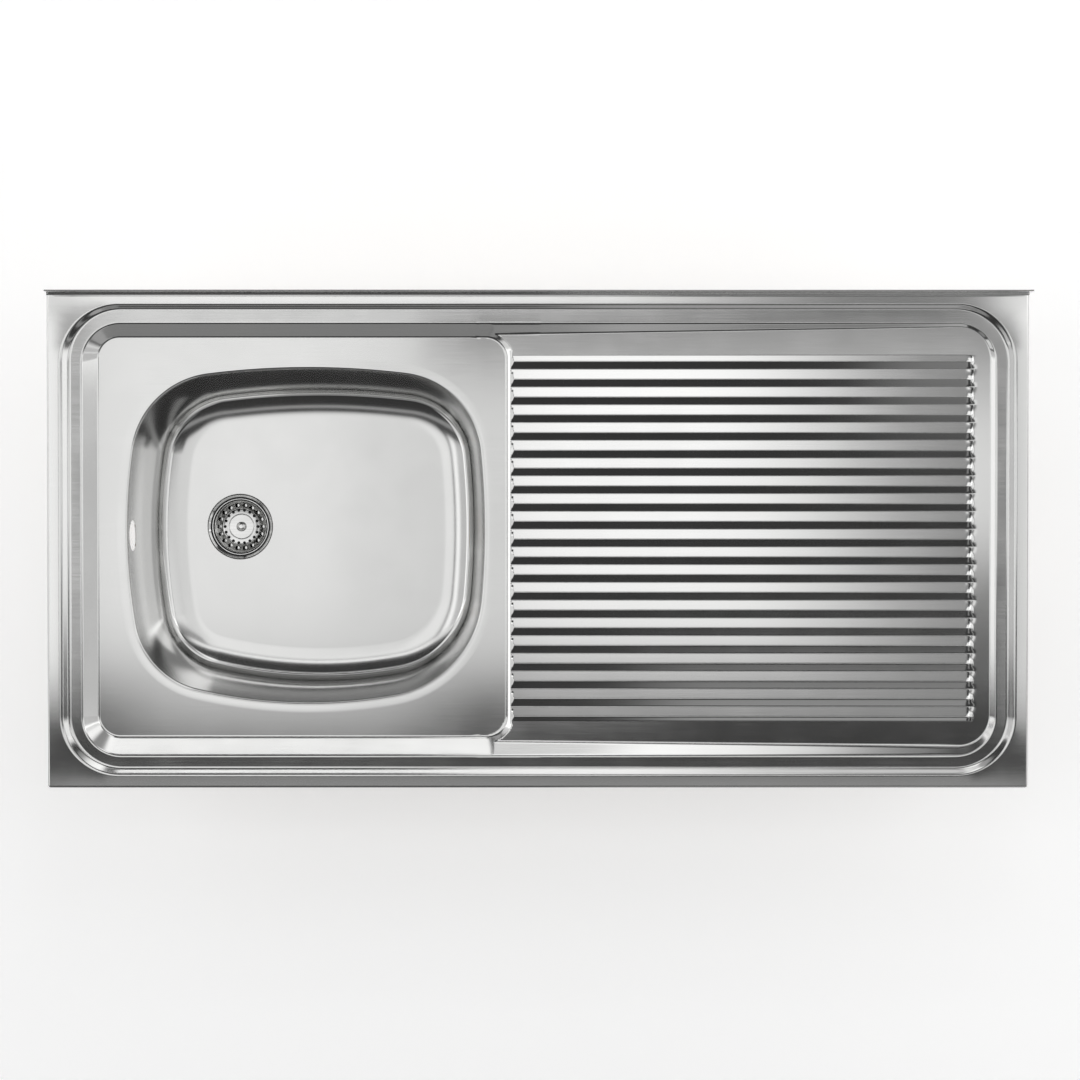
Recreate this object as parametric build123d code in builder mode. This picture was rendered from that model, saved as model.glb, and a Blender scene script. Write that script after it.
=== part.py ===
# Sit-on kitchen sink in stainless steel: one bowl on the left, a ribbed drainboard on the right.
# Millimetres. +X runs along the front to the drainboard, +Y to the wall behind, +Z up.
# The origin is in the middle of the seat plane, where the sink stands on its cabinet.
import os
from math import atan2, cos, radians, sin, tan

from build123d import *

os.makedirs("parts", exist_ok=True)

# overall
width = 1000.0
depth = 506.0  # front edge to the back of the upstand
rim_height = 40.0  # seat plane to the top of the rim
sheet = 0.8  # thickness of the pressed sheet
edge_radius = 2.5  # where the sheet turns down at the outer edge
glue_gap = 0.2  # clearance of what is bedded or glued under the deck
slope_angle = 30.0  # degrees, about that of the pressed slopes

# upstand along the wall, with its top hemmed to the back
upstand_height = 24.0  # above the rim
hem_height = 9.0
hem_gap = 0.4
hem_fullness = 0.98  # share of a full half turn that its fold makes
upstand_bend = 2.0

# pressed steps; each inset is counted from the outer edge as left, right, front, back
step_insets = (12.3, 12.3, 12.3, 12.3)
step_radius = 61.0
ledge_insets = (24.3, 22.5, 21.8, 19.4)
ledge_radius = 52.0
ledge_drop = 3.5  # below the rim
slope_insets = (35.2, 32.9, 32.8, 32.4)
slope_radius = 40.0

# platform round the bowl
platform_drop = 13.0  # below the rim
platform_insets = (50.7, 51.4, 45.6)  # left, front, back
platform_right_width = 18.1  # bowl to the foot of the step up to the drainboard
platform_radius = 22.0
board_step_run = 22.5  # how far that step would run on up to the ledge

# drainboard, which falls towards the bowl
board_step_width = 7.1  # platform to the board's left end
board_low_drop = 10.0  # below the rim at its left end
board_high_drop = 5.8  # below the rim at its right end
board_right_inset = 44.0
board_back_insets = (44.9, 35.2)  # at its left and its right end
board_front_insets = (46.5, 42.0)
board_radius = 25.0
board_overlap = 63.7  # how far its pressing reaches over the platform's

# ribs of the drainboard
rib_pitch = 18.13
rib_margin = 26.0  # about the width of the flat beside the outermost ridges
rib_front_run = 7.76  # from a ridge forward to its valley
rib_rise = 1.8  # ridge above the flat of the board
rib_sink = 1.2  # valley below it
rib_right_inset = 61.0
rib_end_run = 5.0  # length over which a rib fades out

# bowl
bowl_left_inset = 77.0  # outer edge to its opening
bowl_front_inset = 83.7
bowl_back_inset = 75.2
bowl_width = 371.5
crown_left, crown_right, crown_front, crown_back = 20.0, 14.0, 29.0, 17.5
corner_back_left, corner_back_right = 92.0, 91.0
corner_front_right, corner_front_left = 112.0, 85.0
bowl_depth = 150.0  # platform to bowl floor
bowl_draft = 6.5  # degrees
lip_radius = 4.0
lip_reach = 4.5  # weld seam to where lip and wall would meet
floor_radius = 28.0

# overflow hole in the bowl's left wall
overflow_radius = 16.0
overflow_offset = -0.25  # towards the wall behind, from the middle of the bowl
overflow_below_edge = 25.0

# waste opening in the bowl's floor
drain_left_inset = 101.0  # from the left edge of the bowl's opening
drain_offset = 7.75  # towards the wall behind, from the middle of the bowl
recess_depth = 2.5
recess_flare = 3.0
recess_clearance = 2.0  # round the flange
drain_hole_clearance = 0.8  # round the cup

# basket waste
cup_radius = 29.2
cup_taper = 2.7
cup_straight = 2.0  # how far it goes down before it narrows
cup_depth = 18.0
cup_wall = 1.0
flange_width = 5.8
flange_thickness = 1.2
flange_chamfer = 0.6
flange_flare = 1.4
seal_thickness = 1.0
seal_inset = 1.0  # from the edge of the flange
seal_clearance = 0.5  # round the hole in the bowl
slot_count = 8
slot_radius = 3.0
slot_inset = 5.5  # from the stopper's edge to the middle of a slot
body_clearance_width = 1.8  # between cup and body
body_rim_width = 5.0
body_rim_height = 5.0
body_wall = 2.5
body_seal_thickness = 3.0
body_depth = 24.0
outlet_radius = 23.9  # 1 1/2 inch male thread, drawn plain
outlet_bore = 19.5
outlet_length = 22.0
outlet_cone = 6.0  # height over which the body narrows to its outlet
boss_radius = 7.0
boss_rib = 2.5
screw_radius = 4.0
screw_length = 22.0
screw_head_radius = 6.5
screw_head_height = 1.8
screw_head_slope = 1.0
socket_bottom = 7.0  # above the tip of the centre screw
stem_tip_gap = 1.0  # from the bottom of that socket
stem_radius = 1.9
stem_point = 0.5  # chamfer at the tip of the stem
stem_clearance = 0.3
running_clearance = 0.05
body_clearance = 0.3  # between pieces that move apart

# strainer basket
basket_clearance = 0.6  # inside the cup
basket_rim = 2.6  # width of its rolled rim
basket_run = 10.0  # width of its sloping wall
basket_depth = 11.0
basket_sheet = 0.6
basket_holes = 18
basket_rings = ((3.3, 1.7), (7.4, 2.1))  # each ring's distance from the flat floor, and its holes' radius
knob_radius = 5.2
knob_height = 6.5
knob_neck_radius = 3.0
knob_neck_height = 2.2
knob_edge = 1.0  # from the neck up to the widest part of the dome
stopper_clearance = 5.0  # inside the cup's foot
stopper_thickness = 2.5
stopper_lip = 3.0
stopper_edge = 1.0
stopper_bevel = 2.0
collar_radius = 4.0  # collar on the stem, under the stopper

# wooden frame under the rim
batten_width = 28.0
centre_batten_width = 36.0
centre_batten_inset = 26.3  # its middle from the drainboard's left end

# stiffeners and pads
stiffener_spacing = 170.0
stiffener_offset = -9.5  # of their middle from the middle of the room between the battens
stiffener_crown = 24.0
stiffener_height = 20.0
stiffener_run = 5.0  # width of its sloping web
stiffener_brim = 14.0
stiffener_sheet = 1.0
stiffener_overhang = 8.7  # past the outermost ridges
pad_thickness = 2.5
pad_radius = 5.0
floor_pad_size = (150.0, 190.0)
floor_pad_gap = 9.0  # from the recess of the waste
board_pad_gap = 30.0  # from the middle of each stiffener
board_pad_length = 260.0

# fixing brackets; the cabinet's side panels stand inside their legs
panel_thickness = 16.0
bracket_length = 45.0
bracket_leg = 26.0
bracket_sheet = 2.0
bracket_y = 150.0
bracket_hole_radius = 2.25
bracket_hole_spacing = 25.0
bracket_hole_drop = 16.0  # below the seat plane
wood_screw_radius = 1.75
wood_screw_length = 16.0
wood_screw_head = 3.8
wood_screw_head_height = 2.2

# bonding lug
lug_right_inset = 26.6  # from the foot of the step up to the drainboard
lug_front_inset = 16.6  # from the front edge of the platform
lug_width = 14.0
lug_foot = 12.0
lug_leg = 20.0
lug_hole_drop = 12.0  # hole below the platform's underside
lug_sheet = 1.5
lug_screw_radius = 2.5
lug_screw_end_radius = 2.3  # of the thread past the nut, drawn plain
lug_screw_end = 6.0
hex_across_flats = 8.0
hex_height = 3.5
washer_radius = 5.0
washer_thickness = 1.0
screw_hole_clearance = 0.1

level_tolerance = 0.01  # for picking a face by its level

# levels
platform_z = rim_height - platform_drop
ledge_z = rim_height - ledge_drop
floor_z = platform_z - bowl_depth
recess_z = floor_z - recess_depth
back_y = depth / 2
sheet_back_y = back_y - sheet - hem_gap  # rear face of the upstand's sheet, in front of the hem

# places from left to right
bowl_left = bowl_left_inset - width / 2
bowl_right = bowl_left + bowl_width
platform_right = bowl_right + platform_right_width
board_left = platform_right + board_step_width

# places from front to back
bowl_front = bowl_front_inset - depth / 2
bowl_back = back_y - bowl_back_inset
bowl_middle_y = (bowl_front + bowl_back) / 2

# the drainboard's plane
board_right = width / 2 - board_right_inset
board_low_z = rim_height - board_low_drop
board_high_z = rim_height - board_high_drop
board_pitch = atan2(board_high_z - board_low_z, board_right - board_left)


def board_z(x):
    return board_low_z + (x - board_left) * tan(board_pitch)


def board_plane(lower):
    # the plane of the board's flat, lowered square to itself, with its origin over the sink's
    tilt = Vector(-sin(board_pitch), 0, cos(board_pitch))
    return Plane(
        origin=Vector(0, 0, board_z(0)) - tilt * lower,
        x_dir=(cos(board_pitch), 0, sin(board_pitch)),
        z_dir=tilt,
    )


def rounded(x_low, x_high, y_low, y_high, radius, z):
    with BuildSketch(Plane.XY.offset(z)) as outline:
        with Locations(((x_low + x_high) / 2, (y_low + y_high) / 2)):
            RectangleRounded(x_high - x_low, y_high - y_low, radius)
    return outline.sketch


def ring(insets, radius, z, grow=0.0):
    left, right, front, back = (inset - grow for inset in insets)
    return rounded(
        left - width / 2, width / 2 - right, front - depth / 2, back_y - back, radius + grow, z
    )


def board_outline(plane, right, backs, fronts, radius):
    # the board's edge: it runs on over the platform at its left and is rounded at its right
    left = board_left - board_overlap
    corners = [
        (left, fronts[0]),
        (right, fronts[1]),
        (right, backs[1]),
        (left, backs[0]),
    ]
    with BuildSketch(plane) as outline:
        with BuildLine():
            Polyline(*corners, close=True)
        make_face()
        for corner in (corners[1], corners[2]):
            fillet(outline.vertices().sort_by_distance(corner)[0], radius)
    return outline.sketch


def at_inset(insets, x, side):
    # y of a line whose inset from the front or the back edge changes along the board
    share = (x - board_left) / (board_right - board_left)
    inset = insets[0] + (insets[1] - insets[0]) * share
    return side * (depth / 2 - inset)


def pressed(lower):
    # all that lies under the deck's upper surface, or under its lower surface if lower is the sheet
    grow = lower * tan(radians(slope_angle / 2))  # keeps the sheet's thickness on the slopes
    top = rim_height - lower
    with BuildPart() as solid:
        with BuildSketch():
            Rectangle(width - 2 * lower, depth - 2 * lower)
        extrude(amount=top)
        rim_edges = solid.faces().sort_by(Axis.Z)[-1].edges()
        fillet(rim_edges.sort_by(Axis.Y)[:-1], edge_radius - lower)
        # outer step down to the ledge
        step = (
            ring(step_insets, step_radius, top, grow),
            ring(ledge_insets, ledge_radius, ledge_z - lower, grow),
        )
        loft(step, ruled=True, mode=Mode.SUBTRACT)
        # inner slope down to the platform
        left, right, front, back = (inset - grow for inset in slope_insets)
        foot_left, foot_front, foot_back = (inset - grow for inset in platform_insets)
        foot_right = platform_right + grow
        slope = (
            rounded(
                left - width / 2,
                foot_right + board_step_run,
                front - depth / 2,
                back_y - back,
                slope_radius + grow,
                ledge_z - lower,
            ),
            rounded(
                foot_left - width / 2,
                foot_right,
                foot_front - depth / 2,
                back_y - foot_back,
                platform_radius + grow,
                platform_z - lower,
            ),
        )
        loft(slope, ruled=True, mode=Mode.SUBTRACT)
        # inner slope down to the drainboard
        upper = board_outline(
            Plane.XY.offset(ledge_z - lower),
            width / 2 - right,
            (back_y - back, back_y - back),
            (front - depth / 2, front - depth / 2),
            slope_radius + grow,
        )
        ends = (board_left - board_overlap, board_right)
        foot = board_outline(
            board_plane(lower),
            board_right + grow,
            [at_inset(board_back_insets, x, 1) + grow for x in ends],
            [at_inset(board_front_insets, x, -1) - grow for x in ends],
            board_radius + grow,
        )
        loft((upper, foot), ruled=True, mode=Mode.SUBTRACT)
    return solid.part


def bowl_outline(inset, z):
    # four crowned sides between rounded corners
    left, right = bowl_left + crown_left, bowl_right - crown_right
    front, back = bowl_front + crown_front, bowl_back - crown_back
    middle_x = (bowl_left + bowl_right) / 2
    corners = {
        (left, back): corner_back_left,
        (right, back): corner_back_right,
        (right, front): corner_front_right,
        (left, front): corner_front_left,
    }
    with BuildSketch(Plane.XY.offset(z)) as outline:
        with BuildLine():
            ThreePointArc((left, back), (middle_x, bowl_back), (right, back))
            ThreePointArc((right, back), (bowl_right, bowl_middle_y), (right, front))
            ThreePointArc((right, front), (middle_x, bowl_front), (left, front))
            ThreePointArc((left, front), (bowl_left, bowl_middle_y), (left, back))
        make_face()
        for corner, radius in corners.items():
            fillet(outline.vertices().sort_by_distance(corner)[0], radius)
        if inset:
            offset(amount=-inset)
    return outline.sketch


# ridges, spread evenly between the margins at the board's left end
rib_back = at_inset(board_back_insets, board_left, 1) - rib_margin
rib_front = at_inset(board_front_insets, board_left, -1) + rib_margin
rib_gaps = round((rib_back - rib_front) / rib_pitch)
rib_middle_y = (rib_back + rib_front) / 2
ridges = [rib_middle_y + (rib_gaps / 2 - k) * rib_pitch for k in range(rib_gaps + 1)]


def rib_section(x, rise, sink):
    # the sheet's section across the ribs: ridges at rise above the flat, valleys at sink below it
    back_run = rib_pitch - rib_front_run
    share = rib_rise / (rib_rise + rib_sink)
    line = [(ridges[0] + back_run * share, 0)]
    for k, ridge in enumerate(ridges):
        line.append((ridge, rise))
        if k < rib_gaps:
            line.append((ridge - rib_front_run, -sink))
    line.append((ridges[-1] - rib_front_run * share, 0))
    upper = [(y, board_z(x) + z) for y, z in line]
    lower = [(y, z - sheet / cos(board_pitch)) for y, z in reversed(upper)]
    with BuildSketch(Plane.YZ.offset(x)) as section:
        with BuildLine():
            Polyline(*upper, *lower, close=True)
        make_face()
    return section.sketch


# deck: rim, steps, platform, ribbed board, turned-down edges and upstand
rib_left, rib_right = board_left, width / 2 - rib_right_inset
rib_sections = [
    rib_section(rib_left, 0, 0),
    rib_section(rib_left + rib_end_run, rib_rise, rib_sink),
    rib_section(rib_right - rib_end_run, rib_rise, rib_sink),
    rib_section(rib_right, 0, 0),
]
rib_ends = rib_sections[0].bounding_box()
under_sheet = pressed(sheet)
hem_radius = (sheet + hem_gap) / 2 * hem_fullness  # of the middle of the sheet
with BuildPart() as deck:
    add(pressed(0))
    add(under_sheet, mode=Mode.SUBTRACT)
    # the back is open under the rim, and the sheet turns up there
    with BuildSketch(Plane.XY):
        with Locations((0, back_y)):
            Rectangle(width, 2 * (back_y - sheet_back_y))
    extrude(amount=rim_height, mode=Mode.SUBTRACT)
    with BuildSketch(Plane.YZ.offset(-width / 2)):
        with BuildLine():
            FilletPolyline(
                (sheet_back_y - edge_radius - 3 * sheet, rim_height - sheet / 2),
                (sheet_back_y - sheet / 2, rim_height - sheet / 2),
                (sheet_back_y - sheet / 2, rim_height + upstand_height - sheet / 2),
                (back_y - sheet / 2, rim_height + upstand_height - sheet / 2),
                (back_y - sheet / 2, rim_height + upstand_height - hem_height),
                radius=[upstand_bend + sheet / 2, hem_radius, hem_radius],
            )
            offset(amount=sheet / 2, side=Side.BOTH, closed=True)
        make_face()
    extrude(amount=width)
    # opening of the bowl
    extrude(bowl_outline(0, platform_z - 2 * sheet), amount=3 * sheet, mode=Mode.SUBTRACT)
    # ribs
    with BuildSketch(Plane.XY):
        with Locations(((rib_left + rib_right) / 2, (rib_ends.min.Y + rib_ends.max.Y) / 2)):
            Rectangle(rib_right - rib_left, rib_ends.size.Y)
    extrude(amount=rim_height, mode=Mode.SUBTRACT)
    loft(rib_sections, ruled=True)
deck.part.label = "deck"
export_step(deck.part, "parts/deck.step")


# waste opening, cut to the cup, with a recess for the flange
drain_x = bowl_left + drain_left_inset
drain_y = bowl_middle_y + drain_offset
drain_hole_radius = cup_radius + drain_hole_clearance
flange_radius = cup_radius + flange_width
recess_radius = flange_radius + recess_clearance


def bowl_form(lower):
    # the space inside the bowl, or inside its outer surface if lower is the sheet
    draft = radians(bowl_draft)

    def wall_inset(z):
        return lip_reach + (platform_z - z) * tan(draft) - lower / cos(draft)

    top, foot = platform_z - lower, floor_z - lower
    with BuildPart() as form:
        extrude(bowl_outline(-lip_radius, top), amount=sheet)
        loft((bowl_outline(wall_inset(top), top), bowl_outline(wall_inset(foot), foot)), ruled=True)
        brim = form.faces().filter_by_position(Axis.Z, top - level_tolerance, top + level_tolerance)[0]
        fillet(brim.inner_wires()[0].edges(), lip_radius - lower)
        floor_face = form.faces().sort_by(Axis.Z)[0]
        fillet(floor_face.edges(), floor_radius + lower)
        # recess for the waste flange
        with Locations((drain_x, drain_y, foot)):
            Cone(
                recess_radius + lower / 2,
                recess_radius + recess_flare + lower / 2,
                recess_depth,
                align=(Align.CENTER, Align.CENTER, Align.MAX),
            )
    return form.part


# bowl: drawn shell, its lip welded flush into the deck's opening
overflow_y = bowl_middle_y + overflow_offset
overflow_z = platform_z - overflow_below_edge
overflow_x = bowl_left + lip_reach + overflow_below_edge * tan(radians(bowl_draft))
overflow_axis = Vector(-cos(radians(bowl_draft)), 0, -sin(radians(bowl_draft)))
overflow_plane = Plane(origin=(overflow_x, overflow_y, overflow_z), x_dir=(0, 1, 0), z_dir=overflow_axis)
with BuildPart() as bowl:
    add(bowl_form(sheet))
    add(bowl_form(0), mode=Mode.SUBTRACT)
    extrude(
        bowl_outline(0, recess_z - 2 * sheet),
        amount=platform_z - recess_z + 2 * sheet,
        mode=Mode.INTERSECT,
    )
    with BuildSketch(overflow_plane):
        Circle(overflow_radius)
    extrude(amount=overflow_radius, both=True, mode=Mode.SUBTRACT)
    with BuildSketch(Plane.XY.offset(recess_z)):
        with Locations((drain_x, drain_y)):
            Circle(drain_hole_radius)
    extrude(amount=2 * sheet, both=True, mode=Mode.SUBTRACT)
bowl.part.label = "bowl"
export_step(bowl.part, "parts/bowl.step")

# the waste and its basket are turned about one upright axis; radii and heights are drawn from recess_z
waste_plane = Plane(origin=(drain_x, drain_y, recess_z), x_dir=(1, 0, 0), z_dir=(0, -1, 0))
waste_axis = Axis((drain_x, drain_y, recess_z), (0, 0, 1))
plate_z = -cup_depth + cup_wall  # upper side of the cup's bottom plate


def turned(*points):
    with BuildSketch(waste_plane) as profile:
        with BuildLine():
            Polyline(*points, close=True)
        make_face()
    return profile.sketch


def waste_level(z):
    return Plane.XY.offset(recess_z + z)


# seal between flange and bowl
with BuildPart() as flange_seal:
    revolve(
        turned(
            (drain_hole_radius + seal_clearance, 0),
            (flange_radius - seal_inset, 0),
            (flange_radius - seal_inset, seal_thickness),
            (drain_hole_radius + seal_clearance, seal_thickness),
        ),
        axis=waste_axis,
    )
flange_seal.part.label = "flange_seal"
export_step(flange_seal.part, "parts/flange_seal.step")

# flange with its cup and slotted bottom plate
flange_top = seal_thickness + flange_thickness
cup_inner = cup_radius - cup_wall
cup_foot_radius = cup_radius - cup_taper
cup_taper_z = -cup_straight
stopper_radius = cup_foot_radius - cup_wall - stopper_clearance
slot_circle = stopper_radius - slot_inset
plate_hole = screw_radius + stem_clearance
with BuildPart() as waste_flange:
    revolve(
        turned(
            (plate_hole, -cup_depth),
            (cup_foot_radius, -cup_depth),
            (cup_radius, cup_taper_z),
            (cup_radius, seal_thickness),
            (flange_radius, seal_thickness),
            (flange_radius, flange_top - flange_chamfer),
            (flange_radius - flange_chamfer, flange_top),
            (cup_inner + flange_flare, flange_top),
            (cup_inner, flange_top - flange_flare),
            (cup_inner, cup_taper_z),
            (cup_foot_radius - cup_wall, plate_z),
            (plate_hole, plate_z),
        ),
        axis=waste_axis,
    )
    with BuildSketch(waste_level(-cup_depth)):
        with Locations((drain_x, drain_y)):
            with PolarLocations(slot_circle, slot_count):
                Circle(slot_radius)
    extrude(amount=cup_wall, mode=Mode.SUBTRACT)
waste_flange.part.label = "waste_flange"
export_step(waste_flange.part, "parts/waste_flange.step")

# seal between bowl and waste body
body_bore = cup_radius + body_clearance_width
body_radius = body_bore + body_rim_width
body_top = -sheet - body_seal_thickness
with BuildPart() as body_seal:
    revolve(
        turned(
            (body_bore, body_top),
            (body_radius, body_top),
            (body_radius, -sheet),
            (body_bore, -sheet),
        ),
        axis=waste_axis,
    )
body_seal.part.label = "body_seal"
export_step(body_seal.part, "parts/body_seal.step")

# waste body: plastic cup, central boss on three ribs, outlet
rim_foot = body_top - body_rim_height
wall_foot = body_top - body_depth
outlet_top = wall_foot - outlet_cone
outlet_foot = outlet_top - outlet_length
screw_tip = plate_z - screw_length
with BuildPart() as waste_body:
    revolve(
        turned(
            (body_bore, body_top),
            (body_radius, body_top),
            (body_radius, rim_foot),
            (body_bore + body_wall, rim_foot - body_wall),
            (body_bore + body_wall, wall_foot),
            (outlet_radius, outlet_top),
            (outlet_radius, outlet_foot),
            (outlet_bore, outlet_foot),
            (outlet_bore, outlet_top),
            (body_bore, wall_foot + body_wall),
        ),
        axis=waste_axis,
    )
    with BuildSketch(waste_level(-cup_depth)):
        with Locations((drain_x, drain_y)):
            Circle(boss_radius)
    extrude(amount=screw_tip - boss_rib + cup_depth)
    with BuildSketch(waste_level(outlet_top)):
        with Locations((drain_x, drain_y)):
            with PolarLocations(0, 3):
                Rectangle(outlet_bore + boss_rib, boss_rib, align=(Align.MIN, Align.CENTER))
    extrude(amount=-boss_radius)
    with BuildSketch(waste_level(-cup_depth)):
        with Locations((drain_x, drain_y)):
            Circle(screw_radius)
    extrude(amount=screw_tip + cup_depth, mode=Mode.SUBTRACT)
waste_body.part.label = "waste_body"
export_step(waste_body.part, "parts/waste_body.step")

# centre screw, with a socket for the basket's stem
screw_top = plate_z + screw_head_height
socket_floor = screw_tip + socket_bottom
stem_tip = socket_floor + stem_tip_gap
with BuildPart() as centre_screw:
    revolve(
        turned(
            (0, screw_tip),
            (screw_radius, screw_tip),
            (screw_radius, plate_z),
            (screw_head_radius, plate_z),
            (screw_head_radius - screw_head_slope, screw_top),
            (stem_radius + stem_clearance, screw_top),
            (stem_radius + stem_clearance, socket_floor),
            (0, socket_floor),
        ),
        axis=waste_axis,
    )
centre_screw.part.label = "centre_screw"
export_step(centre_screw.part, "parts/centre_screw.step")

# stopper: rubber disc with a lip that closes on the bottom plate
lip_foot = plate_z + body_clearance
stopper_foot = lip_foot + stopper_lip
stopper_top = stopper_foot + stopper_thickness
with BuildPart() as stopper_seal:
    revolve(
        turned(
            (stem_radius + running_clearance, stopper_foot),
            (stopper_radius - stopper_lip, stopper_foot),
            (stopper_radius - stopper_lip + stopper_edge, lip_foot),
            (stopper_radius, lip_foot),
            (stopper_radius, stopper_top - stopper_edge),
            (stopper_radius - stopper_bevel, stopper_top),
            (stem_radius + running_clearance, stopper_top),
        ),
        axis=waste_axis,
    )
stopper_seal.part.label = "stopper_seal"
export_step(stopper_seal.part, "parts/stopper_seal.step")

# strainer basket: rolled rim, perforated cone, flat floor
basket_foot = stopper_top + body_clearance
basket_floor = basket_foot + basket_sheet
basket_top = basket_floor + basket_depth
basket_radius = cup_inner - basket_clearance
cone_radius = basket_radius - basket_rim
basket_floor_radius = cone_radius - basket_run
cone_angle = atan2(basket_depth, cone_radius - basket_floor_radius)
slant = basket_sheet * tan(cone_angle / 2)
with BuildPart() as strainer_basket:
    revolve(
        turned(
            (stem_radius, basket_foot),
            (basket_floor_radius + slant, basket_foot),
            (cone_radius + slant, basket_top - basket_sheet),
            (basket_radius - basket_sheet, basket_top - basket_sheet),
            (basket_radius - basket_sheet, basket_top - 2 * basket_sheet),
            (basket_radius, basket_top - 2 * basket_sheet),
            (basket_radius, basket_top - basket_sheet / 2),
            (basket_radius - basket_sheet / 2, basket_top),
            (cone_radius, basket_top),
            (basket_floor_radius, basket_floor),
            (stem_radius, basket_floor),
        ),
        axis=waste_axis,
    )
    for distance, hole_radius in basket_rings:
        with BuildSketch(waste_level(basket_foot)):
            with Locations((drain_x, drain_y)):
                with PolarLocations(basket_floor_radius + distance, basket_holes):
                    Circle(hole_radius)
        extrude(amount=basket_top - basket_foot, mode=Mode.SUBTRACT)
strainer_basket.part.label = "strainer_basket"
export_step(strainer_basket.part, "parts/strainer_basket.step")

# stem, with the collar that holds the stopper
collar_top = stopper_foot - body_clearance
collar_foot = collar_top - basket_sheet
stem_top = basket_floor + knob_height / 2
with BuildPart() as basket_stem:
    revolve(
        turned(
            (0, stem_tip),
            (stem_radius - stem_point, stem_tip),
            (stem_radius, stem_tip + 2 * stem_point),
            (stem_radius, collar_foot),
            (collar_radius, collar_foot),
            (collar_radius, collar_top),
            (stem_radius, collar_top),
            (stem_radius, stem_top),
            (0, stem_top),
        ),
        axis=waste_axis,
    )
basket_stem.part.label = "basket_stem"
export_step(basket_stem.part, "parts/basket_stem.step")

# knob: neck and dome
knob_top = basket_floor + knob_height
neck_top = basket_floor + knob_neck_height
with BuildPart() as basket_knob:
    with BuildSketch(waste_plane):
        with BuildLine():
            Polyline(
                (0, stem_top),
                (stem_radius, stem_top),
                (stem_radius, basket_floor),
                (knob_neck_radius, basket_floor),
                (knob_neck_radius, neck_top),
                (knob_radius, neck_top + knob_edge),
            )
            TangentArc((0, knob_top), (knob_radius, neck_top + knob_edge), tangent=(1, 0))
            Line((0, knob_top), (0, stem_top))
        make_face()
    revolve(axis=waste_axis)
basket_knob.part.label = "basket_knob"
export_step(basket_knob.part, "parts/basket_knob.step")

# wooden frame under the sheet: front and back battens run through, the others stand between them
batten_edge = sheet + glue_gap
batten_top = ledge_z - sheet
front_face = batten_edge - depth / 2
back_face = sheet_back_y - batten_edge
side_face = width / 2 - batten_edge
frame_length = back_face - front_face - 2 * batten_width
frame_middle = (front_face + back_face) / 2


def bracket_places(side):
    # middles of the brackets on one side of the cabinet
    return [(side, y) for y in (-bracket_y, bracket_y)]


for name, face, side in (("front_batten", front_face, 1), ("back_batten", back_face, -1)):
    with BuildPart() as batten:
        with BuildSketch():
            with Locations((0, face + side * batten_width / 2)):
                Rectangle(2 * side_face, batten_width)
        extrude(amount=batten_top)
        add(under_sheet, mode=Mode.INTERSECT)
    batten.part.label = name
    export_step(batten.part, f"parts/{name}.step")

panel_face = width / 2 - panel_thickness
shelf = panel_face - (side_face - batten_width)
screw_x = panel_face - (shelf + bracket_sheet) / 2  # middle of the shelf, clear of the leg
screw_spots = [(0, -bracket_hole_spacing / 2), (0, bracket_hole_spacing / 2)]
for name, side in (("left_batten", -1), ("right_batten", 1)):
    with BuildPart() as batten:
        with BuildSketch():
            with Locations((side * (side_face - batten_width / 2), frame_middle)):
                Rectangle(batten_width, frame_length)
        extrude(amount=batten_top)
        add(under_sheet, mode=Mode.INTERSECT)
        # pilot holes of the bracket screws
        with BuildSketch():
            with Locations(*bracket_places(side * screw_x)):
                with Locations(*screw_spots):
                    Circle(wood_screw_radius)
        extrude(amount=wood_screw_length - bracket_sheet, mode=Mode.SUBTRACT)
    batten.part.label = name
    export_step(batten.part, f"parts/{name}.step")

valley_drop = rib_sink + sheet / cos(board_pitch) + glue_gap
centre_x = board_left + centre_batten_inset
with BuildPart() as centre_batten:
    with BuildSketch():
        with Locations((centre_x, frame_middle)):
            Rectangle(centre_batten_width, frame_length)
    extrude(amount=board_z(centre_x - centre_batten_width / 2) - valley_drop)
centre_batten.part.label = "centre_batten"
export_step(centre_batten.part, "parts/centre_batten.step")

# fixing brackets: a shelf under a side batten and a leg down the inside of the cabinet's panel
for number, (side, y) in enumerate(bracket_places(-1) + bracket_places(1), start=1):
    with BuildPart() as bracket:
        with BuildSketch(Plane.XZ.offset(-y)):
            with BuildLine():
                Polyline(
                    (side * panel_face, 0),
                    (side * (panel_face - shelf), 0),
                    (side * (panel_face - shelf), -bracket_sheet),
                    (side * (panel_face - bracket_sheet), -bracket_sheet),
                    (side * (panel_face - bracket_sheet), -bracket_leg),
                    (side * panel_face, -bracket_leg),
                    close=True,
                )
            make_face()
        extrude(amount=bracket_length / 2, both=True)
        with BuildSketch(Plane.XY):
            with Locations((side * screw_x, y)):
                with Locations(*screw_spots):
                    Circle(wood_screw_radius + screw_hole_clearance)
        extrude(amount=-bracket_sheet, mode=Mode.SUBTRACT)
        with BuildSketch(Plane.YZ.offset(side * panel_face)):
            with Locations((y, -bracket_hole_drop)):
                with Locations((-bracket_hole_spacing / 2, 0), (bracket_hole_spacing / 2, 0)):
                    Circle(bracket_hole_radius)
        extrude(amount=-side * bracket_sheet, mode=Mode.SUBTRACT)
    bracket.part.label = f"fixing_bracket_{number}"
    export_step(bracket.part, f"parts/fixing_bracket_{number}.step")

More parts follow.
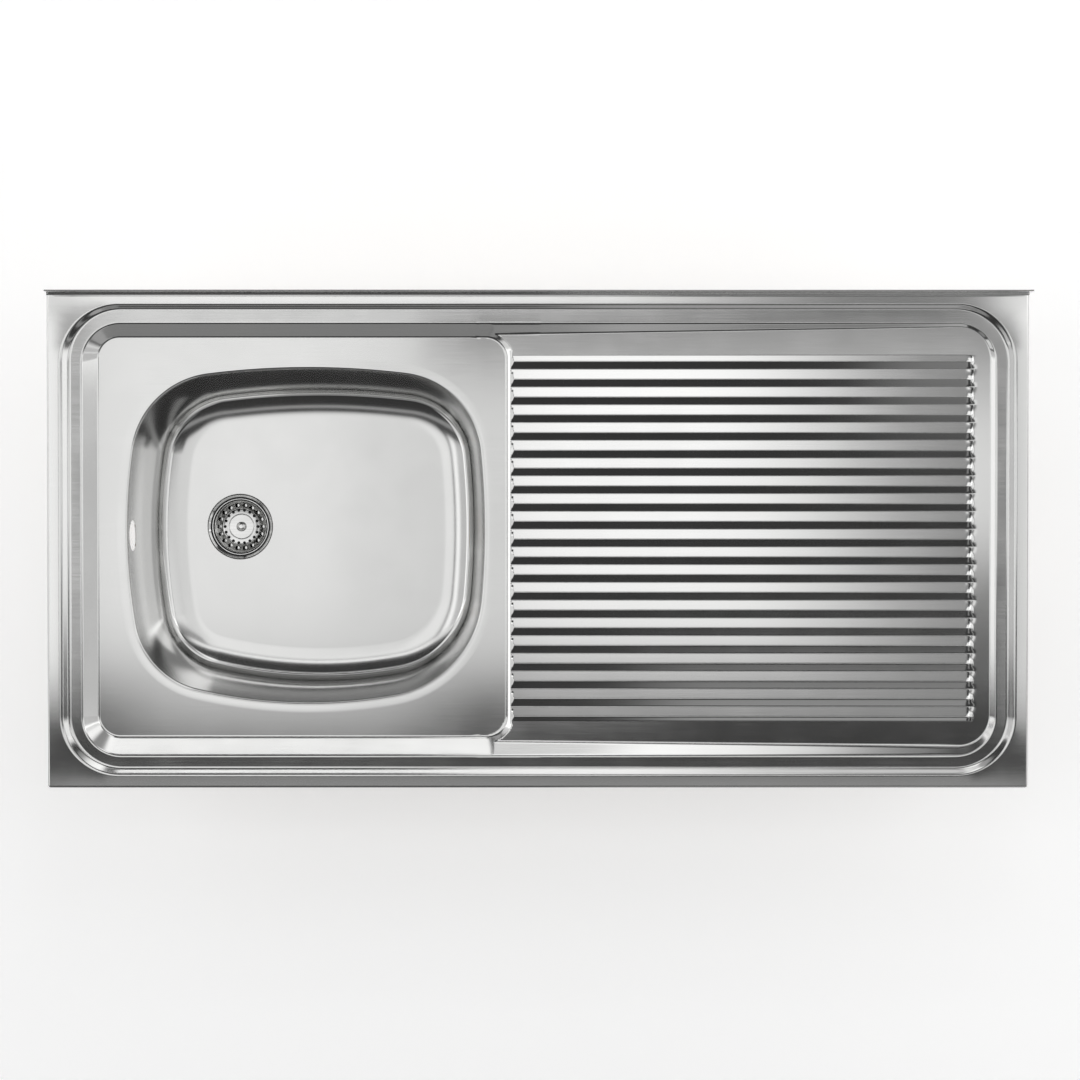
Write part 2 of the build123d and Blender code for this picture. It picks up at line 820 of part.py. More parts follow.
# wood screws of the brackets
with BuildPart() as bracket_screws:
    for side in (-1, 1):
        with BuildSketch(Plane.XY.offset(-bracket_sheet)):
            with Locations(*bracket_places(side * screw_x)):
                with Locations(*screw_spots):
                    Circle(wood_screw_head)
        extrude(amount=-wood_screw_head_height)
        with BuildSketch(Plane.XY.offset(-bracket_sheet)):
            with Locations(*bracket_places(side * screw_x)):
                with Locations(*screw_spots):
                    Circle(wood_screw_radius)
        extrude(amount=wood_screw_length)
bracket_screws.part.label = "bracket_screws"
export_step(bracket_screws.part, "parts/bracket_screws.step")

# hat-section stiffeners bonded under the valleys of the ribs
room_left = centre_x + centre_batten_width / 2
room_right = side_face - batten_width
stiffener_middle = (room_left + room_right) / 2 + stiffener_offset
stiffener_length = rib_gaps * rib_pitch + 2 * stiffener_overhang
crown = stiffener_crown / 2
foot = crown + stiffener_run
for number, side in ((1, -1), (2, 1)):
    x = stiffener_middle + side * stiffener_spacing / 2
    top = board_z(x - crown - stiffener_sheet) - valley_drop - stiffener_sheet / 2
    with BuildPart() as stiffener:
        with BuildSketch(Plane.XZ.offset(-(rib_middle_y + stiffener_length / 2))):
            with BuildLine():
                Polyline(
                    (x - foot - stiffener_brim, top - stiffener_height),
                    (x - foot, top - stiffener_height),
                    (x - crown, top),
                    (x + crown, top),
                    (x + foot, top - stiffener_height),
                    (x + foot + stiffener_brim, top - stiffener_height),
                )
                offset(amount=stiffener_sheet / 2, side=Side.BOTH)
            make_face()
        extrude(amount=stiffener_length)
    stiffener.part.label = f"drainboard_stiffener_{number}"
    export_step(stiffener.part, f"parts/drainboard_stiffener_{number}.step")

# sound damping pads
with BuildPart() as drainboard_pad:
    with BuildSketch(board_plane(valley_drop)):
        with Locations((stiffener_middle, rib_middle_y)):
            RectangleRounded(stiffener_spacing - 2 * board_pad_gap, board_pad_length, pad_radius)
    extrude(amount=-pad_thickness)
drainboard_pad.part.label = "drainboard_pad"
export_step(drainboard_pad.part, "parts/drainboard_pad.step")

floor_pad_x = drain_x + recess_radius + recess_flare + floor_pad_gap + floor_pad_size[0] / 2
with BuildPart() as floor_pad:
    with BuildSketch(Plane.XY.offset(floor_z - sheet)):
        with Locations((floor_pad_x, overflow_y)):
            RectangleRounded(*floor_pad_size, pad_radius)
    extrude(amount=-pad_thickness)
floor_pad.part.label = "floor_pad"
export_step(floor_pad.part, "parts/floor_pad.step")

# bonding lug welded under the platform, with its screw, washer and nut along X
lug_x = platform_right - lug_right_inset
lug_y = platform_insets[1] - depth / 2 + lug_front_inset
lug_top = platform_z - sheet
lug_hole_z = lug_top - lug_hole_drop
leg_face = lug_x - lug_sheet
nut_face = leg_face - washer_thickness - hex_height
with BuildPart() as earth_lug:
    with BuildSketch(Plane.XZ.offset(-lug_y)):
        with BuildLine():
            Polyline(
                (lug_x, lug_top),
                (lug_x - lug_foot, lug_top),
                (lug_x - lug_foot, lug_top - lug_sheet),
                (leg_face, lug_top - lug_sheet),
                (leg_face, lug_top - lug_leg),
                (lug_x, lug_top - lug_leg),
                close=True,
            )
        make_face()
    extrude(amount=lug_width / 2, both=True)
    with BuildSketch(Plane.YZ.offset(lug_x)):
        with Locations((lug_y, lug_hole_z)):
            Circle(lug_screw_radius + screw_hole_clearance)
    extrude(amount=-lug_sheet, mode=Mode.SUBTRACT)
earth_lug.part.label = "earth_lug"
export_step(earth_lug.part, "parts/earth_lug.step")

hex_radius = hex_across_flats / 2 / cos(radians(30))
with BuildPart() as earth_screw:
    with BuildSketch(Plane.YZ.offset(lug_x)):
        with Locations((lug_y, lug_hole_z)):
            RegularPolygon(hex_radius, 6)
    extrude(amount=hex_height)
    with BuildSketch(Plane.YZ.offset(lug_x)):
        with Locations((lug_y, lug_hole_z)):
            Circle(lug_screw_radius)
    extrude(amount=nut_face - lug_x)
    with BuildSketch(Plane.YZ.offset(nut_face)):
        with Locations((lug_y, lug_hole_z)):
            Circle(lug_screw_end_radius)
    extrude(amount=-lug_screw_end)
earth_screw.part.label = "earth_screw"
export_step(earth_screw.part, "parts/earth_screw.step")

with BuildPart() as earth_washer:
    with BuildSketch(Plane.YZ.offset(leg_face)):
        with Locations((lug_y, lug_hole_z)):
            Circle(washer_radius)
            Circle(lug_screw_radius + screw_hole_clearance, mode=Mode.SUBTRACT)
    extrude(amount=-washer_thickness)
earth_washer.part.label = "earth_washer"
export_step(earth_washer.part, "parts/earth_washer.step")

with BuildPart() as earth_nut:
    with BuildSketch(Plane.YZ.offset(leg_face - washer_thickness)):
        with Locations((lug_y, lug_hole_z)):
            RegularPolygon(hex_radius, 6)
            Circle(lug_screw_radius, mode=Mode.SUBTRACT)
    extrude(amount=-hex_height)
earth_nut.part.label = "earth_nut"
export_step(earth_nut.part, "parts/earth_nut.step")
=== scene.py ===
import math

import bpy
import numpy as np
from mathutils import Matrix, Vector
from mathutils.geometry import delaunay_2d_cdt


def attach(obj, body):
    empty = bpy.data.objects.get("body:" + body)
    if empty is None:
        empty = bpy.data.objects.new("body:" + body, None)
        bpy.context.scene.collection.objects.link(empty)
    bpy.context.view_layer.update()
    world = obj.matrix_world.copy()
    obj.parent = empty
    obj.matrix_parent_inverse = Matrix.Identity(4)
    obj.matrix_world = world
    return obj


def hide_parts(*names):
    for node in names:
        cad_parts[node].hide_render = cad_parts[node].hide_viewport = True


# Sit-on kitchen sink: one bowl, a ribbed drainboard and a basket waste, looked at from above.
# Shapes are drawn in millimetres and turned to metres when a mesh is made.
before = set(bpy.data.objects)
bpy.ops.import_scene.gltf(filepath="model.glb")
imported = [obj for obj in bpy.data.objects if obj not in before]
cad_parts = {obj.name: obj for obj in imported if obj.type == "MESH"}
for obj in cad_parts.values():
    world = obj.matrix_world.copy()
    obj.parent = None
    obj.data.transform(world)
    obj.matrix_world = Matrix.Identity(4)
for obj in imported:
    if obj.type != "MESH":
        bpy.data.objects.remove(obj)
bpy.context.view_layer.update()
mm = 0.001
print("frame loaded:", len(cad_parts), "nodes")


# small helpers for materials

def linear(hexColour):
    # sRGB hex to the linear values that the shader takes
    parts = [int(hexColour[i:i + 2], 16) / 255 for i in (1, 3, 5)]
    return tuple(c / 12.92 if c <= 0.04045 else ((c + 0.055) / 1.055) ** 2.4 for c in parts) + (1.0,)


def addNode(tree, kind, inputs=None, **settings):
    # one node, its settings, and its sockets: a value is set, a socket or another node's output is linked
    node = tree.nodes.new("ShaderNode" + kind)
    for name, value in settings.items():
        setattr(node, name, value)
    for name, value in (inputs or {}).items():
        if isinstance(value, bpy.types.Node):
            value = next(socket for socket in value.outputs if socket.enabled)
        if isinstance(value, bpy.types.NodeSocket):
            tree.links.new(value, node.inputs[name])
        else:
            node.inputs[name].default_value = value
    return node


def newMaterial(name):
    # an empty material, its node tree and the coordinates of its object
    material = bpy.data.materials.new(name)
    material.use_nodes = True
    tree = material.node_tree
    tree.nodes.clear()
    return material, tree, addNode(tree, "TexCoord").outputs["Object"]


def perMetre(sizeMm):
    # noise scale that gives features of that size on a mesh in metres
    return 1000.0 / sizeMm


def grainScale(grainAxis, along, across):
    # the same on each axis, for features that are longer along the grain
    return tuple(perMetre(along if axis == grainAxis else across) for axis in "XYZ")


# camera

cameraPlace = {
    "height": 2640.0,  # of the lens above the seat plane
    "x": 2.2,
    "y": 40.8,
    "aimX": 2.2,
    "aimY": 0.1,
    "aimZ": 40.0,
    "lens": 85.15,
    "sensor": 36.0,
}
cameraData = bpy.data.cameras.new("camera")
cameraData.lens = cameraPlace["lens"]
cameraData.sensor_width = cameraPlace["sensor"]
cameraData.clip_end = 50.0
camera = bpy.data.objects.new("camera", cameraData)
camera.location = [cameraPlace[k] * mm for k in ("x", "y", "height")]
aim = Vector([cameraPlace[k] * mm for k in ("aimX", "aimY", "aimZ")]) - camera.location
camera.rotation_euler = (-math.atan2(-aim.y, -aim.z), math.atan2(-aim.x, -aim.z), 0)
bpy.context.scene.collection.objects.link(camera)
bpy.context.scene.camera = camera
print("camera set")


# materials

steelSheet = {
    "pale": "#D2D2D1",
    "deep": "#CDCDCC",
    "roughLow": 0.1,
    "roughHigh": 0.13,
    "tintSpan": (0.12, 0.4),  # of the grain times the clouds
    "roughSpan": (0.1, 0.42),
    "grainAcross": 0.9,  # mm; the real polishing grain is about 0.05 mm, drawn coarser so that it shows
    "grainAlong": 60.0,
    "grainDepth": 0.002,
    "grainStrength": 0.1,
    "waveSize": 170.0,  # mm, slow waves that pressing leaves in a thin sheet
    "waveDepth": 0.05,
    "cloudSize": 46.0,
}


def uneven(tree, kind, value, tintSpan, roughSpan):
    # colour from deep to pale and roughness from low to high while the value rises through its spans
    tintFrom, roughFrom = ({"Value": value, "From Min": a, "From Max": b} for a, b in (tintSpan, roughSpan))
    share = addNode(tree, "MapRange", tintFrom, interpolation_type="SMOOTHSTEP")
    tint = addNode(tree, "Mix", {0: share, 6: linear(kind["deep"]), 7: linear(kind["pale"])}, data_type="RGBA")
    rough = addNode(tree, "MapRange", {**roughFrom, "To Min": kind["roughLow"], "To Max": kind["roughHigh"]})
    return tint, rough


def satinSteel(name, kind, grainAxis):
    # 18/10 stainless steel sheet, rolled, drawn in a press and polished: a cool grey mirror that is a little
    # soft along the polishing direction, with slow waves that bend long reflections
    material, tree, place = newMaterial(name)
    stretch = grainScale(grainAxis, kind["grainAlong"], kind["grainAcross"])
    stretched = addNode(tree, "VectorMath", {0: place, 1: stretch}, operation="MULTIPLY")
    grain = addNode(tree, "TexNoise", {"Vector": stretched, "Scale": 1.0, "Detail": 3.0, "Roughness": 0.6})
    cloud = addNode(tree, "TexNoise", {"Vector": place, "Scale": perMetre(kind["cloudSize"])})
    wave = addNode(tree, "TexNoise",
                   {"Vector": place, "Scale": perMetre(kind["waveSize"]), "Detail": 1.0, "Roughness": 0.4})
    both = addNode(tree, "Math", {0: grain, 1: cloud}, operation="MULTIPLY")
    tint, rough = uneven(tree, kind, both, kind["tintSpan"], kind["roughSpan"])
    waves = addNode(tree, "Bump", {"Height": wave, "Distance": kind["waveDepth"] * mm})
    brushed = addNode(tree, "Bump", {"Height": grain, "Strength": kind["grainStrength"],
                                     "Distance": kind["grainDepth"] * mm, "Normal": waves})
    shader = addNode(tree, "BsdfPrincipled",
                     {"Base Color": tint, "Metallic": 1.0, "Roughness": rough, "Normal": brushed})
    addNode(tree, "OutputMaterial", {"Surface": shader})
    return material


deckSteel = satinSteel("stainlessSheetPolishedAlong", steelSheet, "X")
bowlSteel = satinSteel("stainlessBowlDrawnAndPolished", dict(steelSheet, waveSize=120.0), "Z")
wasteFinish = dict(steelSheet, pale="#D9D9D8", deep="#C9C9C8", roughLow=0.05, roughHigh=0.1,
                   waveSize=30.0, waveDepth=0.004)
wasteSteel = satinSteel("stainlessWastePressedAndBuffed", wasteFinish, "X")
print("steel ready")

spruce = {
    "early": "#D8BD90",
    "late": "#B58A55",
    "heart": "#C9A06B",
    "driftLength": 160.0,
    "driftWidth": 22.0,
    "ringLength": 420.0,
    "ringWidth": 3.2,  # mm between late wood lines on the planed face
    "fibreLength": 28.0,
    "fibreWidth": 0.9,  # mm; real fibres are far finer, drawn coarser so that they show
    "lateFrom": 0.52,  # of the ring noise, where late wood begins and where it is full
    "lateFull": 0.68,
    "fibreDark": 0.78,
    "fibreLight": 1.12,
    "relief": 0.12,
    "roughLow": 0.5,
    "roughHigh": 0.66,
}


def planedSpruce(name, kind, grainAxis):
    # spruce batten, sawn and planed: pale early wood with thin brown late wood lines along it, dry fibres
    # that catch a little light, and slow darker patches towards the heart
    material, tree, place = newMaterial(name)
    noises = []
    for part, more in (("drift", {}), ("ring", {"Detail": 1.0, "Roughness": 0.4, "Distortion": 0.6}),
                       ("fibre", {"Detail": 4.0})):
        stretch = grainScale(grainAxis, kind[part + "Length"], kind[part + "Width"])
        stretched = addNode(tree, "VectorMath", {0: place, 1: stretch}, operation="MULTIPLY")
        noises.append(addNode(tree, "TexNoise", {"Vector": stretched, "Scale": 1.0, **more}))
    drift, rings, fibre = noises
    line = addNode(tree, "MapRange",
                   {"Value": rings, "From Min": kind["lateFrom"], "From Max": kind["lateFull"]},
                   interpolation_type="SMOOTHSTEP")
    colour = linear(kind["early"])
    for share, other in ((drift, "heart"), (line, "late")):
        colour = addNode(tree, "Mix", {0: share, 6: colour, 7: linear(kind[other])}, data_type="RGBA")
    shade, rough = (addNode(tree, "MapRange", {"Value": fibre, "To Min": kind[low], "To Max": kind[high]})
                    for low, high in (("fibreDark", "fibreLight"), ("roughHigh", "roughLow")))
    shaded = addNode(tree, "VectorMath", {0: colour, "Scale": shade}, operation="SCALE")
    height = addNode(tree, "Math", {0: line, 1: fibre}, operation="ADD")
    bump = addNode(tree, "Bump", {"Height": height, "Strength": 0.5, "Distance": kind["relief"] * mm})
    shader = addNode(tree, "BsdfPrincipled",
                     {"Base Color": shaded, "Roughness": rough, "IOR": 1.5, "Normal": bump})
    addNode(tree, "OutputMaterial", {"Surface": shader})
    return material


# finishes of the pieces under the sheet: patch and grain are sizes in mm, depth is the grain's, and the ones
# without an IOR are metals
zincPlate = {"pale": "#C9CDD2", "deep": "#A9AFB8", "roughLow": 0.24, "roughHigh": 0.4,
             "patch": 9.0, "grain": 0.7, "depth": 0.02}
polishedBar = {"pale": "#D6D6D5", "deep": "#C4C4C3", "roughLow": 0.08, "roughHigh": 0.16,
               "patch": 6.0, "grain": 0.5, "depth": 0.006}
sealRubber = {"pale": "#2A2A2B", "deep": "#1B1B1C", "ior": 1.52, "roughLow": 0.5, "roughHigh": 0.68,
              "patch": 5.0, "grain": 0.6, "depth": 0.05}
bitumenPad = {"pale": "#3B3A38", "deep": "#242322", "ior": 1.6, "roughLow": 0.72, "roughHigh": 0.9,
              "patch": 14.0, "grain": 1.8, "depth": 0.35}
greyPlastic = {"pale": "#9A9C9E", "deep": "#87898B", "ior": 1.49, "roughLow": 0.34, "roughHigh": 0.48,
               "patch": 18.0, "grain": 0.8, "depth": 0.03}


def mottled(name, kind):
    # cloudy colour from patches, broken up by a fine grain that also roughens and dents the surface
    material, tree, place = newMaterial(name)
    patch = addNode(tree, "TexNoise", {"Vector": place, "Scale": perMetre(kind["patch"]), "Detail": 3.0})
    grain = addNode(tree, "TexNoise", {"Vector": place, "Scale": perMetre(kind["grain"])})
    cells = addNode(tree, "TexVoronoi", {"Vector": place, "Scale": perMetre(kind["grain"] * 2.4)})
    both = addNode(tree, "Math", {0: patch, 1: grain}, operation="ADD")
    tint, rough = uneven(tree, kind, both, (0.7, 1.3), (0.7, 1.3))
    height = addNode(tree, "Math", {0: grain, 1: cells}, operation="ADD")
    bump = addNode(tree, "Bump", {"Height": height, "Strength": 0.6, "Distance": kind["depth"] * mm})
    body = {"IOR": kind["ior"]} if "ior" in kind else {"Metallic": 1.0}
    shader = addNode(tree, "BsdfPrincipled", {"Base Color": tint, "Roughness": rough, "Normal": bump, **body})
    addNode(tree, "OutputMaterial", {"Surface": shader})
    return material


# the pieces that keep their own shape under the sheet get the finish of what they are made of
spruceAlong = planedSpruce("sprucePlanedAlongX", spruce, "X")
spruceAcross = planedSpruce("sprucePlanedAlongY", spruce, "Y")
zinc = mottled("steelZincPlatedBright", zincPlate)  # pressed and plated: pale, faintly blue, cloudy
rubber = mottled("epdmRubberMoulded", sealRubber)  # moulded EPDM: nearly black with a soft sheen
bitumen = mottled("bitumenPadPressedOn", bitumenPad)  # pressed on warm: dull dark grey, coarse, lumpy
polypropylene = mottled("polypropyleneMouldedGrey", greyPlastic)  # moulded: satin, finely textured
barSteel = mottled("stainlessBarTurnedAndPolished", polishedBar)  # turned bar: bright, faint marks
underneath = [
    (spruceAlong, "front_batten", "back_batten"),
    (spruceAcross, "left_batten", "right_batten", "centre_batten"),
    (zinc, "drainboard_stiffener_1", "drainboard_stiffener_2", "bracket_screws", "earth_screw", "earth_washer",
     "earth_nut", "fixing_bracket_1", "fixing_bracket_2", "fixing_bracket_3", "fixing_bracket_4"),
    (rubber, "stopper_seal", "flange_seal", "body_seal"),
    (bitumen, "floor_pad", "drainboard_pad"),
    (polypropylene, "waste_body"),
    (barSteel, "basket_stem", "centre_screw"),
    (deckSteel, "earth_lug"),
]
for material, *names in underneath:
    for nodeName in names:
        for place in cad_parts[nodeName].material_slots:
            place.material = material
print("pieces underneath finished:", sum(len(row) - 1 for row in underneath))


# meshes from points, normals and faces

def addMesh(name, points, faces, material):
    # an object from points in metres
    mesh = bpy.data.meshes.new(name)
    mesh.from_pydata(points, [], faces)
    mesh.materials.append(material)
    piece = bpy.data.objects.new(name, mesh)
    bpy.context.scene.collection.objects.link(piece)
    return piece


def makeSheet(name, patches, thickness, material):
    # patches share their edges; each is points (mm), normals and faces of the upper side.
    # The lower side lies a sheet's thickness under it, and walls close the free edges.
    points, normals = (np.vstack([patch[i] for patch in patches]) for i in (0, 1))
    _, first, where = np.unique(np.round(points, 4), axis=0, return_index=True, return_inverse=True)
    where = where.ravel().tolist()
    points, normals = points[first], normals[first]
    normals = normals / np.linalg.norm(normals, axis=1, keepdims=True)
    faces, start = [], 0
    for patch in patches:
        for face in patch[2]:
            ids = [where[start + i] for i in face]
            ids = [v for i, v in enumerate(ids) if v != ids[i - 1]]
            if len(ids) > 2:
                faces.append(ids)
        start += len(patch[0])
    edges = {edge: True for face in faces for edge in zip(face, face[1:] + face[:1])}
    loops = [normals[v] for face in faces for v in face]
    if thickness:
        count, under = len(points), points - normals * thickness
        for face in list(faces):
            faces.append([v + count for v in reversed(face)])
            loops.extend(-normals[v] for v in reversed(face))
        for a, b in edges:
            if (b, a) not in edges:
                across = np.cross(points[a] - points[b], under[a] - points[b])
                length = np.linalg.norm(across)
                faces.append([b, a, a + count, b + count])
                loops.extend([across / length if length > 0 else normals[a]] * 4)
        points = np.vstack([points, under])
    piece = addMesh(name, (points * mm).tolist(), faces, material)
    piece.data.shade_smooth()
    piece.data.normals_split_custom_set(np.array(loops).tolist())
    return piece


def strip(rows, normals):
    # a grid of points given as rows
    rows, normals = np.asarray(rows, float), np.asarray(normals, float)
    high, wide = rows.shape[:2]
    starts = [j * wide + i for j in range(high - 1) for i in range(wide - 1)]
    faces = [[k, k + 1, k + 1 + wide, k + wide] for k in starts]
    return rows.reshape(-1, 3), normals.reshape(-1, 3), faces


def flipped(patch):
    points, normals, faces = patch
    return points, normals, [face[::-1] for face in faces]


def circle(centre, radius, count=96):
    angles = np.linspace(0, 2 * math.pi, count + 1)[:-1]
    return np.column_stack([centre[0] + radius * np.cos(angles), centre[1] + radius * np.sin(angles)])


def closedLine(loop):
    return np.vstack([loop, loop[:1]])


def surface(plan, heightAt, step=0.02):
    # points over a plan, with the normals of the surface itself
    x, y = plan.T
    dx = (heightAt(x + step, y) - heightAt(x - step, y)) / (2 * step)
    dy = (heightAt(x, y + step) - heightAt(x, y - step)) / (2 * step)
    return np.column_stack([x, y, heightAt(x, y)]), np.column_stack([-dx, -dy, np.ones(len(x))])


def insideLoop(points, loop):
    # even-odd test of many points against one closed line
    x, y = points.T
    inside = np.zeros(len(points), bool)
    for (x0, y0), (x1, y1) in zip(loop, np.roll(loop, -1, axis=0)):
        if y0 != y1:
            inside ^= ((y0 > y) != (y1 > y)) & (x < (x1 - x0) * (y - y0) / (y1 - y0) + x0)
    return inside


def triangulate(outer, holes, lines, extra):
    # plan points and triangles inside outer and outside the holes; lines are kept as edges
    points, edges = [], []
    for loop, closed in [(outer, True)] + [(h, True) for h in holes] + [(l, False) for l in lines]:
        start = len(points)
        points.extend(map(tuple, loop))
        edges.extend((start + i, start + i + 1) for i in range(len(loop) - 1))
        if closed:
            edges.append((start + len(loop) - 1, start))
    points.extend(map(tuple, extra))
    result = delaunay_2d_cdt([Vector(p) for p in points], edges, [], 0, 1e-5, False)
    plan = np.array([tuple(p) for p in result[0]])
    faces = np.array(result[2])
    middle = plan[faces].mean(axis=1)
    keep = insideLoop(middle, np.asarray(outer))
    for hole in holes:
        keep &= ~insideLoop(middle, np.asarray(hole))
    faces = faces[keep]
    a, b, c = (plan[faces[:, i]] for i in range(3))
    area = (b[:, 0] - a[:, 0]) * (c[:, 1] - a[:, 1]) - (b[:, 1] - a[:, 1]) * (c[:, 0] - a[:, 0])
    faces[area < 0] = faces[area < 0][:, ::-1]
    return plan, faces.tolist()


# deck: the pressed sheet, as a height over its plan

deck = {
    "halfWidth": 500.0,
    "halfDepth": 253.0,
    "rim": 40.0,
    "rimFall": 0.0175,  # the ledge leans outwards by 1 degree and the rim by 2
    "rimBox": (-487.7, 487.7, -240.7, 240.7, 25.0),  # left, right, front, back and corner radius
    "rimSoft": 2.0,
    "ledgeBox": (-466.0, 468.0, -221.5, 222.0, 41.0),
    "ledgeSoft": 1.0,
    "ledge": 36.5,
    "platform": 27.0,
    "sheet": 0.8,
    "edgeRadius": 2.5,
    "cornerRadius": 3.0,  # of the turned-down edge at the two front corners, seen from above
    "stepTop": (-487.7, 487.7, -240.7, 240.7, 61.0),
    "stepFoot": (-475.7, 477.5, -231.2, 234.4, 52.0),
    "slopeTop": (-464.8, -9.4, -220.2, 220.6, 40.0),
    "slopeFoot": (-449.3, -31.9, -201.6, 207.4, 22.0),
    "slopeLines": -62.0,  # the lines round the slope end here, where a close grid begins
    "boardStart": -140.0,  # the board's pressing runs on under the platform's, which is deeper there
    "boardLeft": -26.3,
    "boardRight": 461.0,
    "boardLow": 30.0,
    "boardHigh": 34.2,
    "boardTop": (467.1, -220.2, 220.6, 40.0),  # right, front, back, corner radius at the ledge
    "boardFootLeft": (-206.5, 210.3),  # front and back of its foot at the board's left and right end
    "boardFootRight": (-211.0, 218.0),
    "boardRadius": 32.0,
    "edgeBend": (5.0, 0.55),  # radius of the press at the top of the slopes, and the slope there
    "rightBend": (5.0, 0.4),
    "rightFrom": 400.0,  # the edge's bend turns to the right one from here on
    "rightFade": 55.0,
    "footBend": (4.5, 0.6),
    "crestBend": (1.6, 0.42),
    "rollIn": 8.0,  # mm of the platform round the bowl that roll down into it
    "rollSlope": 0.065,
}
rib = {
    "pitch": 18.13,
    "frontRun": 7.76,
    "rise": 1.8,
    "sink": 1.2,
    "count": 21,
    "firstRidge": 182.1,
    "ridgeBend": 2.4,
    "valleyBend": 2.0,
    "outerBend": 0.4,  # of the valley's bend, in front of the first rib and behind the last
    "levelSoft": 0.5,
    "left": -36.0,
    "leftRun": 6.0,
    "endStart": -28.6,  # from here on the ribs' left ends stand steeper than the step below them
    "endSteeper": 0.4,
    "endFront": -190.0,
    "endBack": 194.0,
    "endFade": 6.0,
    "right": 437.5,
    "ridgeRun": 6.5,
    "valleyRun": 9.5,
}
upstand = {
    "height": 24.0,
    "gap": 0.4,
    "bend": 2.0,
    "fold": 1.0,  # radius of the hem at the top
    "hem": 9.0,  # how far the hem's free edge lies below the top
    "short": 2.2,  # the left end stands back from the sheet's edge
}


def smoothMin(a, b, k):
    h = np.maximum(k - np.abs(a - b), 0)
    return np.minimum(a, b) - h * h / (4 * k)


def smoothMax(a, b, k):
    return -smoothMin(-a, -b, k)


def bendWidth(radius, slope):
    # the k of smoothMin that gives about this radius where two planes meet at this slope
    return radius * slope * slope / 2


def smoothStep(t):
    t = np.clip(t, 0, 1)
    return t * t * (3 - 2 * t)


def stepShape(t, bend=0.32):
    # 0 to 1 with a straight middle and rounded ends
    t = np.clip(t, 0, 1)
    near = np.where(t < 0.5, t, 1 - t)
    slope = 1 / (1 - bend)
    half = np.where(near < bend, slope * near * near / (2 * bend), slope * (near - bend / 2))
    return np.where(t < 0.5, half, 1 - half)


def softRamp(t, soft=0.22):
    # 0 to 1 in a straight line that is rounded at both ends
    return smoothMax(t, 0 * t, soft) - smoothMax(t - 1, 0 * t, soft)


def cornerDistance(dx, dy, radius):
    # from the distances outside two sides, both with the radius added
    return np.hypot(np.maximum(dx, 0), np.maximum(dy, 0)) + np.minimum(np.maximum(dx, dy), 0) - radius


def roundBox(x, y, left, right, front, back, radius):
    dx = np.abs(x - (left + right) / 2) - (right - left) / 2 + radius
    dy = np.abs(y - (front + back) / 2) - (back - front) / 2 + radius
    return cornerDistance(dx, dy, radius)


def nested(a, b, t):
    return [p + (q - p) * t for p, q in zip(a, b)]


def between(distanceAt, low=-0.7, high=1.7):
    # the share t at which the nested outline passes through each point
    shape = distanceAt(low).shape
    low, high = np.full(shape, low), np.full(shape, high)
    for _ in range(34):
        t = (low + high) / 2
        inside = distanceAt(t) < 0
        low = np.where(inside, t, low)
        high = np.where(inside, high, t)
    return (low + high) / 2


def boardShare(x):
    return (x - deck["boardLeft"]) / (deck["boardRight"] - deck["boardLeft"])


def boardOutline(x, t):
    # right, front, back and corner radius of the board's pressing at share t from the ledge down to its foot
    footFront, footBack = nested(deck["boardFootLeft"], deck["boardFootRight"], boardShare(x))
    return nested(deck["boardTop"], (deck["boardRight"], footFront, footBack, deck["boardRadius"]), t)


def boardDistance(x, y, t):
    right, front, back, radius = boardOutline(x, t)
    dx = np.maximum(x - right, deck["boardStart"] - x) + radius
    dy = np.maximum(y - back, front - y) + radius
    return cornerDistance(dx, dy, radius)


ridgeLines = [rib["firstRidge"] - rib["pitch"] * k for k in range(rib["count"])]
backRun = rib["pitch"] - rib["frontRun"]
frontSlope = (rib["rise"] + rib["sink"]) / rib["frontRun"]
backSlope = (rib["rise"] + rib["sink"]) / backRun
ridgeK = bendWidth(rib["ridgeBend"], frontSlope + backSlope)
valleyK = bendWidth(rib["valleyBend"], frontSlope + backSlope)


def ribHeight(y):
    # section across the ribs over the board's flat: steep towards the front, gentle towards the back
    k = np.clip(np.floor((rib["firstRidge"] + backRun - y) / rib["pitch"]), 0, rib["count"] - 1)
    nearest = rib["firstRidge"] - rib["pitch"] * k
    shape = np.full(y.shape, -99.0)  # far below, where there is no rib
    for ridge in (nearest + rib["pitch"], nearest, nearest - rib["pitch"]):
        here = smoothMin(rib["rise"] + frontSlope * (y - ridge), rib["rise"] - backSlope * (y - ridge), ridgeK)
        known = (ridge < rib["firstRidge"] + 1) & (ridge > ridgeLines[-1] - 1)
        shape = smoothMax(shape, np.where(known, here, -99.0), valleyK)
    outside = (y > rib["firstRidge"]) | (y < ridgeLines[-1])
    return np.where(outside, smoothMax(shape, 0 * y, valleyK * rib["outerBend"]), shape)


